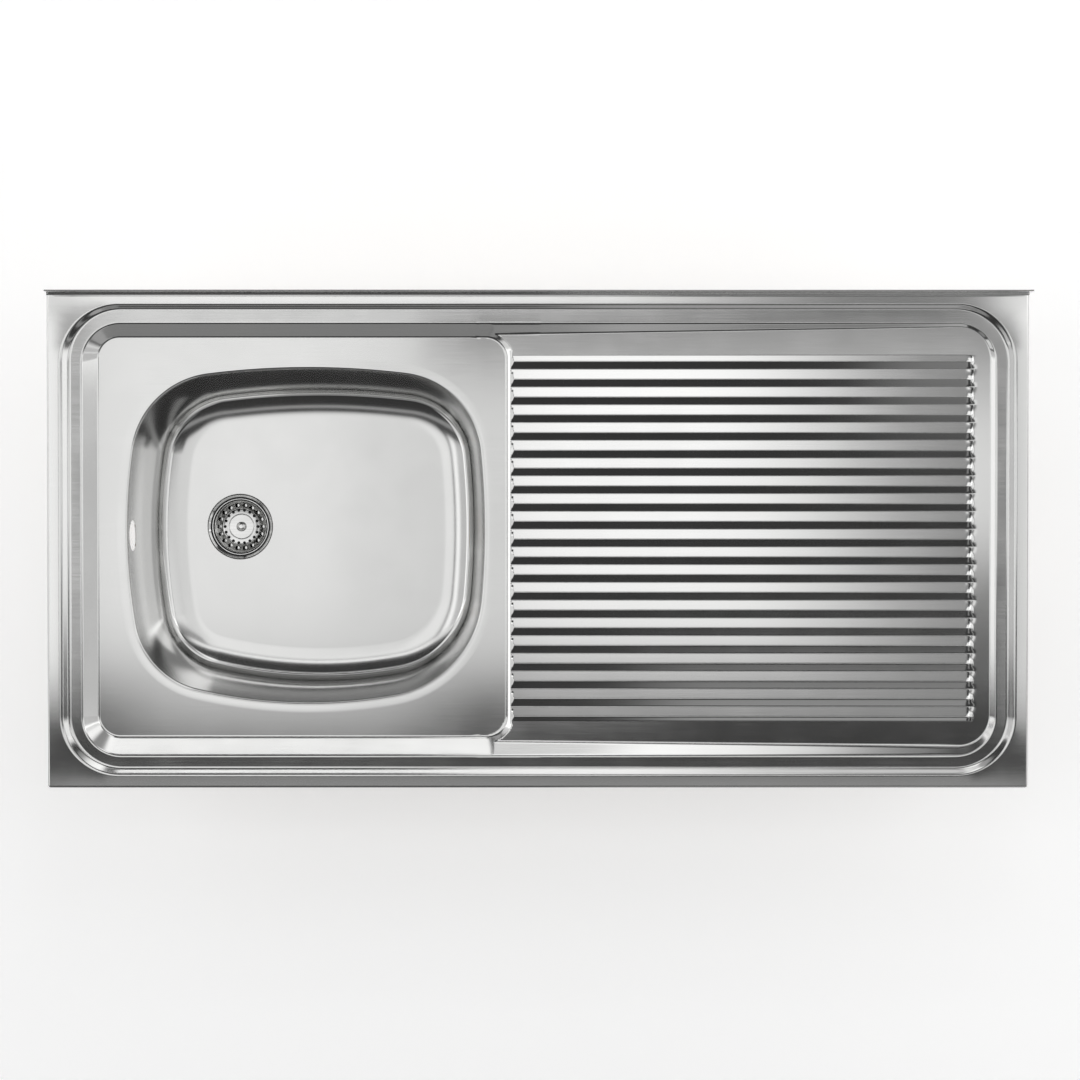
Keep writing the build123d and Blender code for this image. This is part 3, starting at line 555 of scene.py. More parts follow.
def deckHeight(x, y):
    outer = between(lambda t: roundBox(x, y, *nested(deck["stepTop"], deck["stepFoot"], t)))
    slope = between(lambda t: roundBox(x, y, *nested(deck["slopeTop"], deck["slopeFoot"], t)))
    wall = between(lambda t: boardDistance(x, y, t))
    drop = deck["ledge"] - deck["platform"]
    cavity = smoothMax(deck["ledge"] - drop * slope, deck["platform"] + 0 * x, bendWidth(*deck["footBend"]))
    backFade, frontFade = (rib["endBack"] - y) / rib["endFade"], (y - rib["endFront"]) / rib["endFade"]
    steeper = rib["endSteeper"] * (smoothStep(backFade) * smoothStep(frontFade))
    cavity = cavity + steeper * np.maximum(x - rib["endStart"], 0)
    level = deck["boardLow"] + (deck["boardHigh"] - deck["boardLow"]) * boardShare(x)
    height = ribHeight(y)
    left = softRamp((x - rib["left"]) / rib["leftRun"])
    runs = rib["ridgeRun"], rib["valleyRun"]
    ridgeEnd, valleyEnd = (softRamp((rib["right"] + run - x) / run) for run in runs)
    over = smoothMax(height, 0 * height, rib["levelSoft"])
    ribs = left * (over * ridgeEnd + (height - over) * valleyEnd)
    nearRight = smoothStep((x - deck["rightFrom"]) / deck["rightFade"])
    k = bendWidth(*deck["edgeBend"]) * (1 - nearRight) + bendWidth(*deck["rightBend"]) * nearRight
    board = smoothMax(deck["ledge"] + (level - deck["ledge"]) * wall, level + ribs, k)
    inner = smoothMin(cavity, board, bendWidth(*deck["crestBend"]))
    top = smoothMin(inner, deck["ledge"] + 0 * x, k)
    lean = smoothMax(roundBox(x, y, *deck["rimBox"]), 0 * x, deck["rimSoft"])
    lean = lean + smoothMax(roundBox(x, y, *deck["ledgeBox"]), 0 * x, deck["ledgeSoft"])
    return top + (deck["rim"] - deck["ledge"]) * (1 - stepShape(outer)) - deck["rimFall"] * lean


def boxRing(left, right, front, back, radius, step=14.0, cornerSteps=41):
    # points round a rounded rectangle, sparse on its sides and close on its corners
    corners = [(right - radius, back - radius, 0), (left + radius, back - radius, 90),
               (left + radius, front + radius, 180), (right - radius, front + radius, 270)]
    arcs = []
    for cx, cy, start in corners:
        angles = np.radians(np.linspace(start, start + 90, cornerSteps + 1))
        arcs.append([(cx + radius * math.cos(a), cy + radius * math.sin(a)) for a in angles])
    points = []
    for arc, following in zip(arcs, arcs[1:] + arcs[:1]):
        points += arc
        (x0, y0), (x1, y1) = arc[-1], following[0]
        many = max(1, int(math.hypot(x1 - x0, y1 - y0) / step))
        points += [(x0 + (x1 - x0) * s, y0 + (y1 - y0) * s) for s in np.linspace(0, 1, many + 1)[1:-1]]
    return np.array(points)


# bowl outline: four crowned sides between rounded corners

bowl = {
    "left": -423.0,
    "right": -51.5,
    "front": -169.3,
    "back": 177.8,
    "crowns": (20.0, 14.0, 29.0, 17.5),  # left, right, front, back
    "corners": (91.0, 92.0, 85.0, 112.0),  # back right, back left, front left, front right
    "floor": -123.0,
    "draftTop": 4.0,  # degrees; the drawn wall leans in more and more on its way down
    "draftFoot": 9.0,
    "lipRadius": 3.0,
    "lipReach": 3.4,
    "footFurtherIn": (-4.0, -1.5, -3.0, -1.0),  # mm, at the foot of the left, right, front and back wall
    "footRadius": 12.0,
    "footTurn": 75.0,
    "footRunOut": 100.0,  # wide radius with which the wall runs out on the floor
    "drain": (-322.0, 12.0),  # axis of the waste
    "recess": -125.5,
    "recessRadius": 34.2,
    "recessFlare": 1.0,
    "hole": 30.0,
    "recessSoft": 0.35,
    "overflowRadius": 16.0,
    "overflowY": 4.0,
    "overflowZ": 2.0,
}


def circleThrough(a, b, c):
    d = 2 * (a[0] * (b[1] - c[1]) + b[0] * (c[1] - a[1]) + c[0] * (a[1] - b[1]))
    aa, bb, cc = (p[0] ** 2 + p[1] ** 2 for p in (a, b, c))
    x = (aa * (b[1] - c[1]) + bb * (c[1] - a[1]) + cc * (a[1] - b[1])) / d
    y = (aa * (c[0] - b[0]) + bb * (a[0] - c[0]) + cc * (b[0] - a[0])) / d
    return np.array([x, y]), math.hypot(a[0] - x, a[1] - y)


def bowlRing():
    # points of the bowl's opening with their outward normals, counter-clockwise from the right side
    cl, cr, cf, cb = bowl["crowns"]
    left, right = bowl["left"] + cl, bowl["right"] - cr
    front, back = bowl["front"] + cf, bowl["back"] - cb
    mx, my = (bowl["left"] + bowl["right"]) / 2, (bowl["front"] + bowl["back"]) / 2
    # each side is an arc through two tips and the crest of its crown
    tips = [(right, back), (left, back), (left, front), (right, front)]
    crests = [(bowl["right"], my), (mx, bowl["back"]), (bowl["left"], my), (mx, bowl["front"])]
    sides = [circleThrough(tips[i - 1], crests[i], tips[i]) for i in range(4)]
    radii = bowl["corners"]
    centres = []
    for i, (tip, r) in enumerate(zip(tips, radii)):
        # the corner's centre lies where both side arcs meet, drawn in by its radius
        (centreA, ra), (centreB, rb) = sides[i], sides[(i + 1) % 4]
        ra, rb = ra - r, rb - r
        gap = centreB - centreA
        d = np.linalg.norm(gap)
        t = (ra * ra - rb * rb + d * d) / (2 * d)
        h = math.sqrt(max(ra * ra - t * t, 0))
        base = centreA + gap * t / d
        side = np.array([-gap[1], gap[0]]) * h / d
        centres.append(min((base + side, base - side), key=lambda p: np.hypot(*(p - np.array(tip)))))
    points, normals = [], []
    for i in range(4):
        # side i runs from corner i-1 to corner i, then corner i turns to side i+1
        centre, radius = sides[i]
        before, after = centres[i - 1], centres[i]
        a0 = math.atan2(*(before - centre)[::-1])
        a1 = math.atan2(*(after - centre)[::-1])
        a1 += 2 * math.pi * (a1 < a0)
        nextCentre = sides[(i + 1) % 4][0]
        a2 = math.atan2(*(after - nextCentre)[::-1])
        a2 += 2 * math.pi * (a2 < a1 - 1e-6)
        for middle, r, start, end, steps in ((centre, radius, a0, a1, 60), (after, radii[i], a1, a2, 26)):
            for a in np.linspace(start, end, steps + 1)[:-1]:
                n = np.array([math.cos(a), math.sin(a)])
                points.append(middle + r * n)
                normals.append(n)
    return np.array(points), np.array(normals)


rim2d, rimNormals = bowlRing()
print("bowl outline:", rim2d.min(0).round(1), rim2d.max(0).round(1), len(rim2d))


def buildDeck():
    w, d, e = deck["halfWidth"], deck["halfDepth"], deck["edgeRadius"]
    bendStart = d - 2 * deck["sheet"] - upstand["gap"] - upstand["bend"]  # where the upstand starts to turn up
    # boundary of the flat part of the rim with its outward direction, from the back left round the front
    inset = deck["cornerRadius"] - e
    cx, cy = w - deck["cornerRadius"], -d + deck["cornerRadius"]
    quarter = [(math.cos(a), math.sin(a)) for a in np.linspace(0, math.pi / 2, 7)[1:]]
    edge = [(-w + e, y, -1, 0) for y in np.linspace(bendStart, cy, 46)]
    edge += [(-cx - inset * c, cy - inset * s, -c, -s) for c, s in quarter]
    edge += [(x, -d + e, 0, -1) for x in np.linspace(-cx, cx, 90)[1:]]
    edge += [(cx + inset * s, cy - inset * c, s, -c) for c, s in quarter]
    edge += [(w - e, y, 1, 0) for y in np.linspace(cy, bendStart, 46)[1:]]
    base, out = np.array(edge)[:, :2], np.array(edge)[:, 2:]
    backXs = np.linspace(w - e, -w + e, 101)
    outer = np.vstack([base, [(x, bendStart) for x in backXs[1:-1]]])

    # lines that the press made: rings round the outer step, the slopes and the board
    stepShares = (-0.12, -0.04, 0.04, 0.12, 0.2, 0.29, 0.38, 0.46,
                  0.54, 0.62, 0.71, 0.8, 0.88, 0.96, 1.04, 1.12)
    lines = [closedLine(boxRing(*nested(deck["stepTop"], deck["stepFoot"], t))) for t in stepShares]
    edgeShares = (-0.22, -0.16, -0.12, -0.08, -0.045, -0.01, 0.025, 0.06, 0.1, 0.15, 0.21)
    footShares = (0.79, 0.84, 0.885, 0.925, 0.96, 0.99, 1.02, 1.055, 1.09, 1.14, 1.2)
    for t in edgeShares + (0.35, 0.5, 0.65) + footShares:
        loop = boxRing(*nested(deck["slopeTop"], deck["slopeFoot"], t))
        keep = loop[:, 0] < deck["slopeLines"]
        start = int(np.argmax(keep & ~np.roll(keep, 1)))
        lines.append(np.roll(loop, -start, axis=0)[np.roll(keep, -start)])
    for t in (-0.32, -0.27) + edgeShares + (0.25, 0.35, 0.5, 0.65, 0.75) + footShares + (1.22, 1.3):
        end, _, _, radius = boardOutline(0, t)
        straight = end - radius
        up, down = [], []
        for x in [*np.arange(4, straight, 14), straight]:
            front, back = boardOutline(x, t)[1:3]
            up.append((x, back))
            down.append((x, front))
        for a in np.radians(np.linspace(90, 0, 41)[1:-1]):
            x = straight + radius * math.cos(a)
            front, back = boardOutline(x, t)[1:3]
            up.append((x, back - radius + radius * math.sin(a)))
            down.append((x, front + radius - radius * math.sin(a)))
        front, back = boardOutline(end, t)[1:3]
        ys = np.linspace(back - radius, front + radius, 28)
        lines.append(np.array(up + [(end, y) for y in ys] + down[::-1]))
    lines += [closedLine(rim2d[::2] + rimNormals[::2] * away) for away in (1.6, 3.2, 5.0, deck["rollIn"])]
    # close grid where the platform, the board and the slopes meet
    meeting = [*np.arange(192.5, 223.5, 1.25), *np.arange(-223.5, -189.5, 1.25)]
    extra = [(x, y) for x in np.arange(-58, 2.5, 1.25) for y in meeting]

    # the ribbed field has its own grid, dense across the ribs
    ys = [ridgeLines[0] + c for c in (8.4, 7.6, 6.9, 6.2, 5.5, 4.8)]
    for ridge in ridgeLines:
        ys += [ridge + c for c in (2.6, 1.1, 0.7, 0.35, 0, -0.35, -0.7, -1.1, -2.4)]
        if ridge > ridgeLines[-1]:
            ys += [ridge - rib["frontRun"] + c for c in (2.4, 0.95, 0.6, 0.3, 0, -0.3, -0.6, -0.95, -2.6)]
    ys = np.array(ys + [ridgeLines[-1] - c for c in (3.4, 4.0, 4.6, 5.2, 5.9, 6.6)])
    xs = np.concatenate([[-36.5, -35, -34.2, -33.6, -33.1, -32.6, -32.1, -31.6, -31.1, -30.5, -29.6, -28.7],
                         np.arange(-28, -19.4, 0.6), [-18.6, -16.5, -14, -10, 0], np.arange(40, 421, 38),
                         [428, 433], np.arange(435.2, 450.5, 0.8)])
    gx, gy = np.meshgrid(xs, ys)
    points, normals = surface(np.column_stack([gx.ravel(), gy.ravel()]), deckHeight)
    field = flipped(strip(points.reshape(*gx.shape, 3), normals.reshape(*gx.shape, 3)))
    fieldLoop = np.array([(x, ys[0]) for x in xs] + [(xs[-1], y) for y in ys[1:]]
                         + [(x, ys[-1]) for x in xs[::-1][1:]] + [(xs[0], y) for y in ys[::-1][1:-1]])
    plan, faces = triangulate(outer, [rim2d, fieldLoop], lines, extra)
    points, normals = surface(plan, deckHeight)
    # the platform rolls down a little on its way into the bowl
    nearest = np.argmin(np.hypot(*(plan[:, None] - rim2d).transpose(2, 0, 1)), axis=1)
    away = np.sum((plan - rim2d[nearest]) * rimNormals[nearest], axis=1)
    within = np.clip(1 - away / deck["rollIn"], 0, 1)
    points[:, 2] -= deck["rollSlope"] * deck["rollIn"] / 2 * within ** 2
    normals[:, :2] -= rimNormals[nearest] * (deck["rollSlope"] * within)[:, None]

    # turned-down edge: a quarter round, then the skirt
    edgeLevel = deckHeight(base[:, 0], base[:, 1])
    rows, rowNormals = [], []
    for a in np.radians(np.linspace(0, 90, 9)):
        rows.append(np.column_stack([base + out * e * math.sin(a), edgeLevel - e * (1 - math.cos(a))]))
        rowNormals.append(np.column_stack([out * math.sin(a), np.full(len(base), math.cos(a))]))
    for z in (30.0, 20.0, 10.0, 0.0):
        rows.append(np.column_stack([base + out * e, np.full(len(base), z)]))
        rowNormals.append(np.column_stack([out, np.zeros(len(base))]))
    skirt = flipped(strip(rows, rowNormals))

    # upstand: turned up from the rim, its top folded over to the back
    rim, bend, fold = deck["rim"], upstand["bend"], upstand["fold"]
    face, top = bendStart + bend, rim + upstand["height"]
    # y, z and the normal's y and z
    profile = [(bendStart + bend * math.sin(a), rim + bend - bend * math.cos(a), -math.sin(a), math.cos(a))
               for a in np.radians(np.linspace(0, 90, 9))]
    profile += [(face, z, -1.0, 0.0) for z in (rim + 8, rim + 16, top - fold)]
    profile += [(face + fold - fold * math.cos(a), top - fold + fold * math.sin(a), -math.cos(a), math.sin(a))
                for a in np.radians(np.linspace(0, 180, 15)[1:])]
    profile += [(face + 2 * fold, z, 1.0, 0.0) for z in (rim + 20, top - upstand["hem"])]
    xs = np.concatenate([[-w], backXs[::-1], [w]])
    fall = deckHeight(np.clip(xs, e - w, w - e), 0 * xs + bendStart) - rim
    rows = []
    for y, z, _, _ in profile:
        ends = xs.copy()
        ends[0] += upstand["short"] * min(max((z - rim - 5) / 6, 0), 1)
        rows.append(np.column_stack([ends, np.full(len(xs), y), z + fall * (z < rim + 10)]))
    rowNormals = [[(0, ny, nz)] * len(xs) for _, _, ny, nz in profile]
    sheets = [(points, normals, faces), field, skirt, strip(rows, rowNormals)]
    piece = makeSheet("DeckSheet", sheets, deck["sheet"], deckSteel)
    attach(piece, "sink")
    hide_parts("deck")
    return piece


deckPiece = buildDeck()
print("deck made:", len(deckPiece.data.polygons), "faces")


# bowl shell

def buildBowl():
    draft, draftFoot = math.radians(bowl["draftTop"]), math.radians(bowl["draftFoot"])
    top, floor = deck["platform"] - deck["rollSlope"] * deck["rollIn"] / 2, bowl["floor"]
    lip, foot, runOut = bowl["lipRadius"], bowl["footRadius"], bowl["footRunOut"]
    turn = math.radians(bowl["footTurn"])
    lipCentre = bowl["lipReach"] - lip * math.tan((math.pi / 2 - draft) / 2)
    wallStart = lipCentre + lip * math.cos(draft)
    runOutZ = floor + runOut
    footZ = runOutZ - (runOut - foot) * math.sin(turn)
    lipEnd = top - lip + lip * math.sin(draft)
    wallHeight = lipEnd - footZ + foot * math.sin(draftFoot)
    bendIn = (math.tan(draftFoot) - math.tan(draft)) / wallHeight
    outX, outY = rimNormals[:, 0], rimNormals[:, 1]
    onLeft, onRight, onFront, onBack = bowl["footFurtherIn"]
    furtherX, furtherY = np.where(outX > 0, onRight, onLeft), np.where(outY > 0, onBack, onFront)
    slopeMore = (outX ** 2 * furtherX + outY ** 2 * furtherY) / wallHeight

    def wallInset(z, more):
        fall = lipEnd - z
        return wallStart + fall * (math.tan(draft) + more + bendIn * fall / 2)

    def wallDraft(z, more):
        return np.arctan(math.tan(draft) + more + bendIn * (lipEnd - z))

    # inset, height and angle of the normal above the horizontal, for each point of the rim
    every = np.ones(len(rim2d))
    profile = [(0 * every, top * every, every * math.pi / 2)]
    for a in np.linspace(math.pi / 2, draft, 12):
        share = (math.pi / 2 - a) / (math.pi / 2 - draft)
        profile.append(((lipCentre + lip * math.cos(a)) * every, (top - lip + lip * math.sin(a)) * every,
                        a + (wallDraft(lipEnd, slopeMore) - draft) * share))
    for z in (-20.0, -40.0, -60.0, -80.0, -95.0):
        profile.append((wallInset(z, slopeMore), z * every, wallDraft(z, slopeMore)))
    footStart = np.arctan(math.tan(draftFoot) + slopeMore)
    footD = wallInset(footZ - foot * np.sin(footStart), slopeMore) + foot * np.cos(footStart)
    runOutD = footD + (runOut - foot) * math.cos(turn)
    for share in np.linspace(0, 1, 17):
        a = footStart + (turn - footStart) * share
        profile.append((footD - foot * np.cos(a), footZ - foot * np.sin(a), a))
    for a in np.linspace(turn, math.pi / 2, 15)[1:]:
        profile.append((runOutD - runOut * math.cos(a), (runOutZ - runOut * math.sin(a)) * every, a * every))
    rows = [np.column_stack([rim2d - rimNormals * inset[:, None], z]) for inset, z, _ in profile]
    rowNormals = [np.column_stack([-rimNormals * np.cos(a)[:, None], np.sin(a)]) for _, _, a in profile]
    rows, rowNormals = np.array(rows), np.array(rowNormals)
    windowRow = 12  # the overflow hole lies between this row and the next

    # columns of the window round the overflow
    reach = bowl["overflowRadius"] + 10
    onLeftSide = rim2d[:, 0] < bowl["left"] + bowl["crowns"][0]
    window = np.where(onLeftSide & (abs(rim2d[:, 1] - bowl["overflowY"]) < reach))[0]
    first, last = min(window), max(window)
    wide = rows.shape[1]
    around = [(i, (i + 1) % wide) for i in range(wide)]
    faces = [[j * wide + k, (j + 1) * wide + k, (j + 1) * wide + i, j * wide + i]
             for j in range(len(rows) - 1) for i, k in around if j != windowRow or not first <= i < last]
    shell = (rows.reshape(-1, 3), rowNormals.reshape(-1, 3), faces)

    # the window: plan is (column position, depth along the wall)
    columns = np.arange(first, last + 1)
    station = np.concatenate([[0], np.cumsum(np.linalg.norm(np.diff(rim2d[columns], axis=0), axis=1))])
    z0, z1 = rows[windowRow:windowRow + 2, 0, 2]
    middle = np.interp(-bowl["overflowY"], -rim2d[columns, 1], station)
    slant = 1 / math.cos(wallDraft(0.0, slopeMore[first]))
    loop = [(s, 0.0) for s in station] + [(s, (z1 - z0) * slant) for s in station[::-1]]
    centre = (middle, (bowl["overflowZ"] - z0) * slant)
    rings = [circle(centre, bowl["overflowRadius"] + grow, 72) for grow in (0.0, 0.7, 1.6, 3.0)]
    plan, windowFaces = triangulate(loop, rings[:1], [closedLine(r) for r in rings[1:]], [])
    ids = np.interp(plan[:, 0], station, columns)
    low = np.clip(np.floor(ids).astype(int), first, last - 1)
    share = ids - low
    base, out, more = ((values[low].T * (1 - share) + values[low + 1].T * share).T
                       for values in (rim2d, rimNormals, slopeMore))
    out /= np.linalg.norm(out, axis=1, keepdims=True)
    z = z0 + plan[:, 1] / slant
    inset, lean = wallInset(z, more), wallDraft(z, more)
    windowPoints = np.column_stack([base - out * inset[:, None], z])
    windowNormals = np.column_stack([-out * np.cos(lean)[:, None], np.sin(lean)])
    a, b, c = (windowPoints[windowFaces[0][i]] for i in range(3))
    if np.dot(np.cross(b - a, c - a), windowNormals[windowFaces[0][0]]) < 0:
        windowFaces = [face[::-1] for face in windowFaces]

    # floor with the recess for the waste
    drain = bowl["drain"]

    def floorHeight(x, y):
        r = np.hypot(x - drain[0], y - drain[1])
        share = (bowl["recessRadius"] + bowl["recessFlare"] - r) / bowl["recessFlare"]
        depth = smoothMax(smoothMin(share, 1 + 0 * r, bowl["recessSoft"]), 0 * r, bowl["recessSoft"])
        return floor + (bowl["recess"] - floor) * depth

    radii = (32.6, 33.5, 33.85, 34.1, 34.3, 34.5, 34.7, 34.9, 35.1, 35.35, 35.7, 37, 40)
    rings = [closedLine(circle(drain, r)) for r in radii]
    plan, faces = triangulate(rows[-1][:, :2], [circle(drain, bowl["hole"])], rings, [])
    patches = [shell, (windowPoints, windowNormals, windowFaces), (*surface(plan, floorHeight), faces)]
    piece = makeSheet("BowlShell", patches, deck["sheet"], bowlSteel)
    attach(piece, "sink")
    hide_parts("bowl")
    return piece


bowlPiece = buildBowl()
print("bowl made:", len(bowlPiece.data.polygons), "faces")


# basket waste: dished flange, perforated basket and its knob, turned about the drain's axis

def lathe(points, turns=96):
    # points are radius, height and the direction of the normal in degrees from the horizontal
    cx, cy = bowl["drain"]
    tilts = [(math.cos(math.radians(n)), math.sin(math.radians(n))) for _, _, n in points]
    rows, rowNormals = [], []
    for a in np.linspace(0, 2 * math.pi, turns + 1)[:-1]:
        rows.append([(cx + r * math.cos(a), cy + r * math.sin(a), bowl["recess"] + z) for r, z, _ in points])
        rowNormals.append([(level * math.cos(a), level * math.sin(a), up) for level, up in tilts])
    return strip(rows + rows[:1], rowNormals + rowNormals[:1])


def rounded(corners):
    # corners are radius, height and bend radius; gives points with normals to the left of the way
    ways = [np.subtract(b[:2], a[:2], dtype=float) for a, b in zip(corners, corners[1:])]
    ways = [way / np.linalg.norm(way) for way in ways]
    tilts = [math.degrees(math.atan2(y, x)) + 90 for x, y in ways]
    out = [(*corners[0][:2], tilts[0])]
    for (*corner, bend), u, v, tilt in zip(corners[1:], ways, ways[1:], tilts):
        turn = math.atan2(u[0] * v[1] - u[1] * v[0], u @ v)
        bend *= 1 if turn > 0 else -1
        centre = corner - u * (bend * math.tan(turn / 2)) + np.array([-u[1], u[0]]) * bend
        for t in np.linspace(0, 1, max(2, int(abs(math.degrees(turn)) / 12) + 2)):
            n = math.radians(tilt + math.degrees(turn) * t)
            out.append((centre[0] - bend * math.cos(n), centre[1] - bend * math.sin(n), math.degrees(n)))
    return out + [(*corners[-1][:2], tilts[-1])]


def roundHoles(count, onRadius, radius):
    cx, cy = bowl["drain"]
    turns = [2 * math.pi * k / count for k in range(count)]
    return [circle((cx + onRadius * math.cos(a), cy + onRadius * math.sin(a)), radius, 20) for a in turns]


def discWithHoles(level, inner, outer, holes, rings, step=0.01):
    # a turned sheet with holes: its height depends on the distance from the axis only
    drain = bowl["drain"]
    plan, faces = triangulate(circle(drain, outer), holes + [circle(drain, inner, 24)],
                              [closedLine(circle(drain, r)) for r in rings], [])
    out = plan - drain
    r = np.hypot(out[:, 0], out[:, 1])
    slope = (level(r + step) - level(r - step)) / (2 * step)
    return (np.column_stack([plan, bowl["recess"] + level(r)]),
            np.column_stack([-slope[:, None] * (out / r[:, None]), np.ones(len(r))]), faces)


flange = {
    "edge": 34.5,
    "rise": 2.3,
    "bead": 30.0,  # rounded ring round the basket, the thin bright line in the photo
    "cupTop": 28.4,
    "cupFoot": 25.5,
    "cupDepth": 17.0,
    "holes": 8,  # in the cup's floor
    "holeRadius": 3.0,
    "holesOn": 15.0,
    "screwHole": 4.3,
    "thickness": 0.8,
}


def buildFlange():
    # radius, height and bend from the cup's foot over the bead and the dish to the edge
    foot, depth, bead, edge, rise = (flange[k] for k in ("cupFoot", "cupDepth", "bead", "edge", "rise"))
    profile = [(foot - 1.2, -depth, 0), (foot, -depth, 1.0), (flange["cupTop"], -2.4, 2.0),
               (bead - 1.0, -0.2, 0.5), (bead - 0.5, 0.95, 0.45), (bead + 0.4, 0.95, 0.45),
               (bead + 1.1, 0.25, 0.5), (edge - 0.25, rise, 0.15), (edge, rise - 0.2, 0.1),
               (edge, rise - 1.1, 0.2), (edge - 0.8, rise - 1.1, 0)]
    holes = roundHoles(flange["holes"], flange["holesOn"], flange["holeRadius"])
    plate = discWithHoles(lambda r: -depth + 0 * r, flange["screwHole"], foot - 1.2, holes, [10.0, 20.0])
    piece = makeSheet("WasteFlange", [lathe(rounded(profile)), plate], flange["thickness"], wasteSteel)
    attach(piece, "sink")
    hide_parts("waste_flange")
    return piece


basket = {
    "floor": -10.3,
    "floorRadius": 14.2,
    "stemHole": 1.9,
    "groove": 13.4,  # fine pressed line round the flat floor
    "grooveDepth": 0.12,
    "grooveWidth": 0.35,
    "webFoot": 19.8,
    "webSlope": 0.07,
    "webSoft": 0.12,
    "coneSlope": 1.27,
    "coneSoft": 0.9,
    "lip": 0.5,
    "lipSoft": 0.7,
    "edge": 27.9,
    "holes": 18,
    "innerHole": 1.65,
    "innerOn": 17.9,
    "outerHole": 2.35,
    "outerOn": 23.4,
    "thickness": 0.6,
}


def basketLevel(r):
    floor, webSlope = basket["floor"], basket["webSlope"]
    web = floor + (r - basket["floorRadius"]) * webSlope
    coneFoot = floor + (basket["webFoot"] - basket["floorRadius"]) * webSlope
    cone = coneFoot + (r - basket["webFoot"]) * basket["coneSlope"]
    level = smoothMax(smoothMax(floor + 0 * r, web, basket["webSoft"]), cone, basket["coneSoft"])
    level = smoothMin(level, basket["lip"] + 0 * r, basket["lipSoft"])
    return level - basket["grooveDepth"] * np.exp(-((r - basket["groove"]) / basket["grooveWidth"]) ** 2)


def buildBasket():
    holes = roundHoles(basket["holes"], basket["innerOn"], basket["innerHole"])
    holes += roundHoles(basket["holes"], basket["outerOn"], basket["outerHole"])
    rings = [12.6, 12.95, 13.15, 13.4, 13.65, 13.85, 14.2, 14.8, 15.4, 19.9, 20.3,
             25.6, 26.1, 26.6, 27.0, 27.4, 27.65]
    plate = discWithHoles(basketLevel, basket["stemHole"], basket["edge"], holes, rings)
    piece = makeSheet("StrainerBasket", [plate], basket["thickness"], wasteSteel)
    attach(piece, "basket")
    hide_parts("strainer_basket")
    return piece


def buildKnob():
    # domed knob on a short neck, widest a little above the neck
    corners = [(3.0, basket["floor"], 0), (3.0, -8.3, 0.5), (5.2, -8.3, 0.9), (5.2, -6.6, 1.2),
               (4.4, -4.9, 1.6), (2.4, -3.8, 2.2), (0.0, -3.8, 0)]
    profile = [(r, z, n - 180) for r, z, n in rounded(corners)]
    piece = makeSheet("BasketKnob", [flipped(lathe(profile, 48))], 0.0, wasteSteel)
    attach(piece, "basket")
    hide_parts("basket_knob")
    return piece


flangePiece = buildFlange()
basketPiece = buildBasket()
buildKnob()
print("waste made:", len(flangePiece.data.polygons), len(basketPiece.data.polygons), "faces")


# studio: pale floor and a light tent whose soft panels the steel mirrors

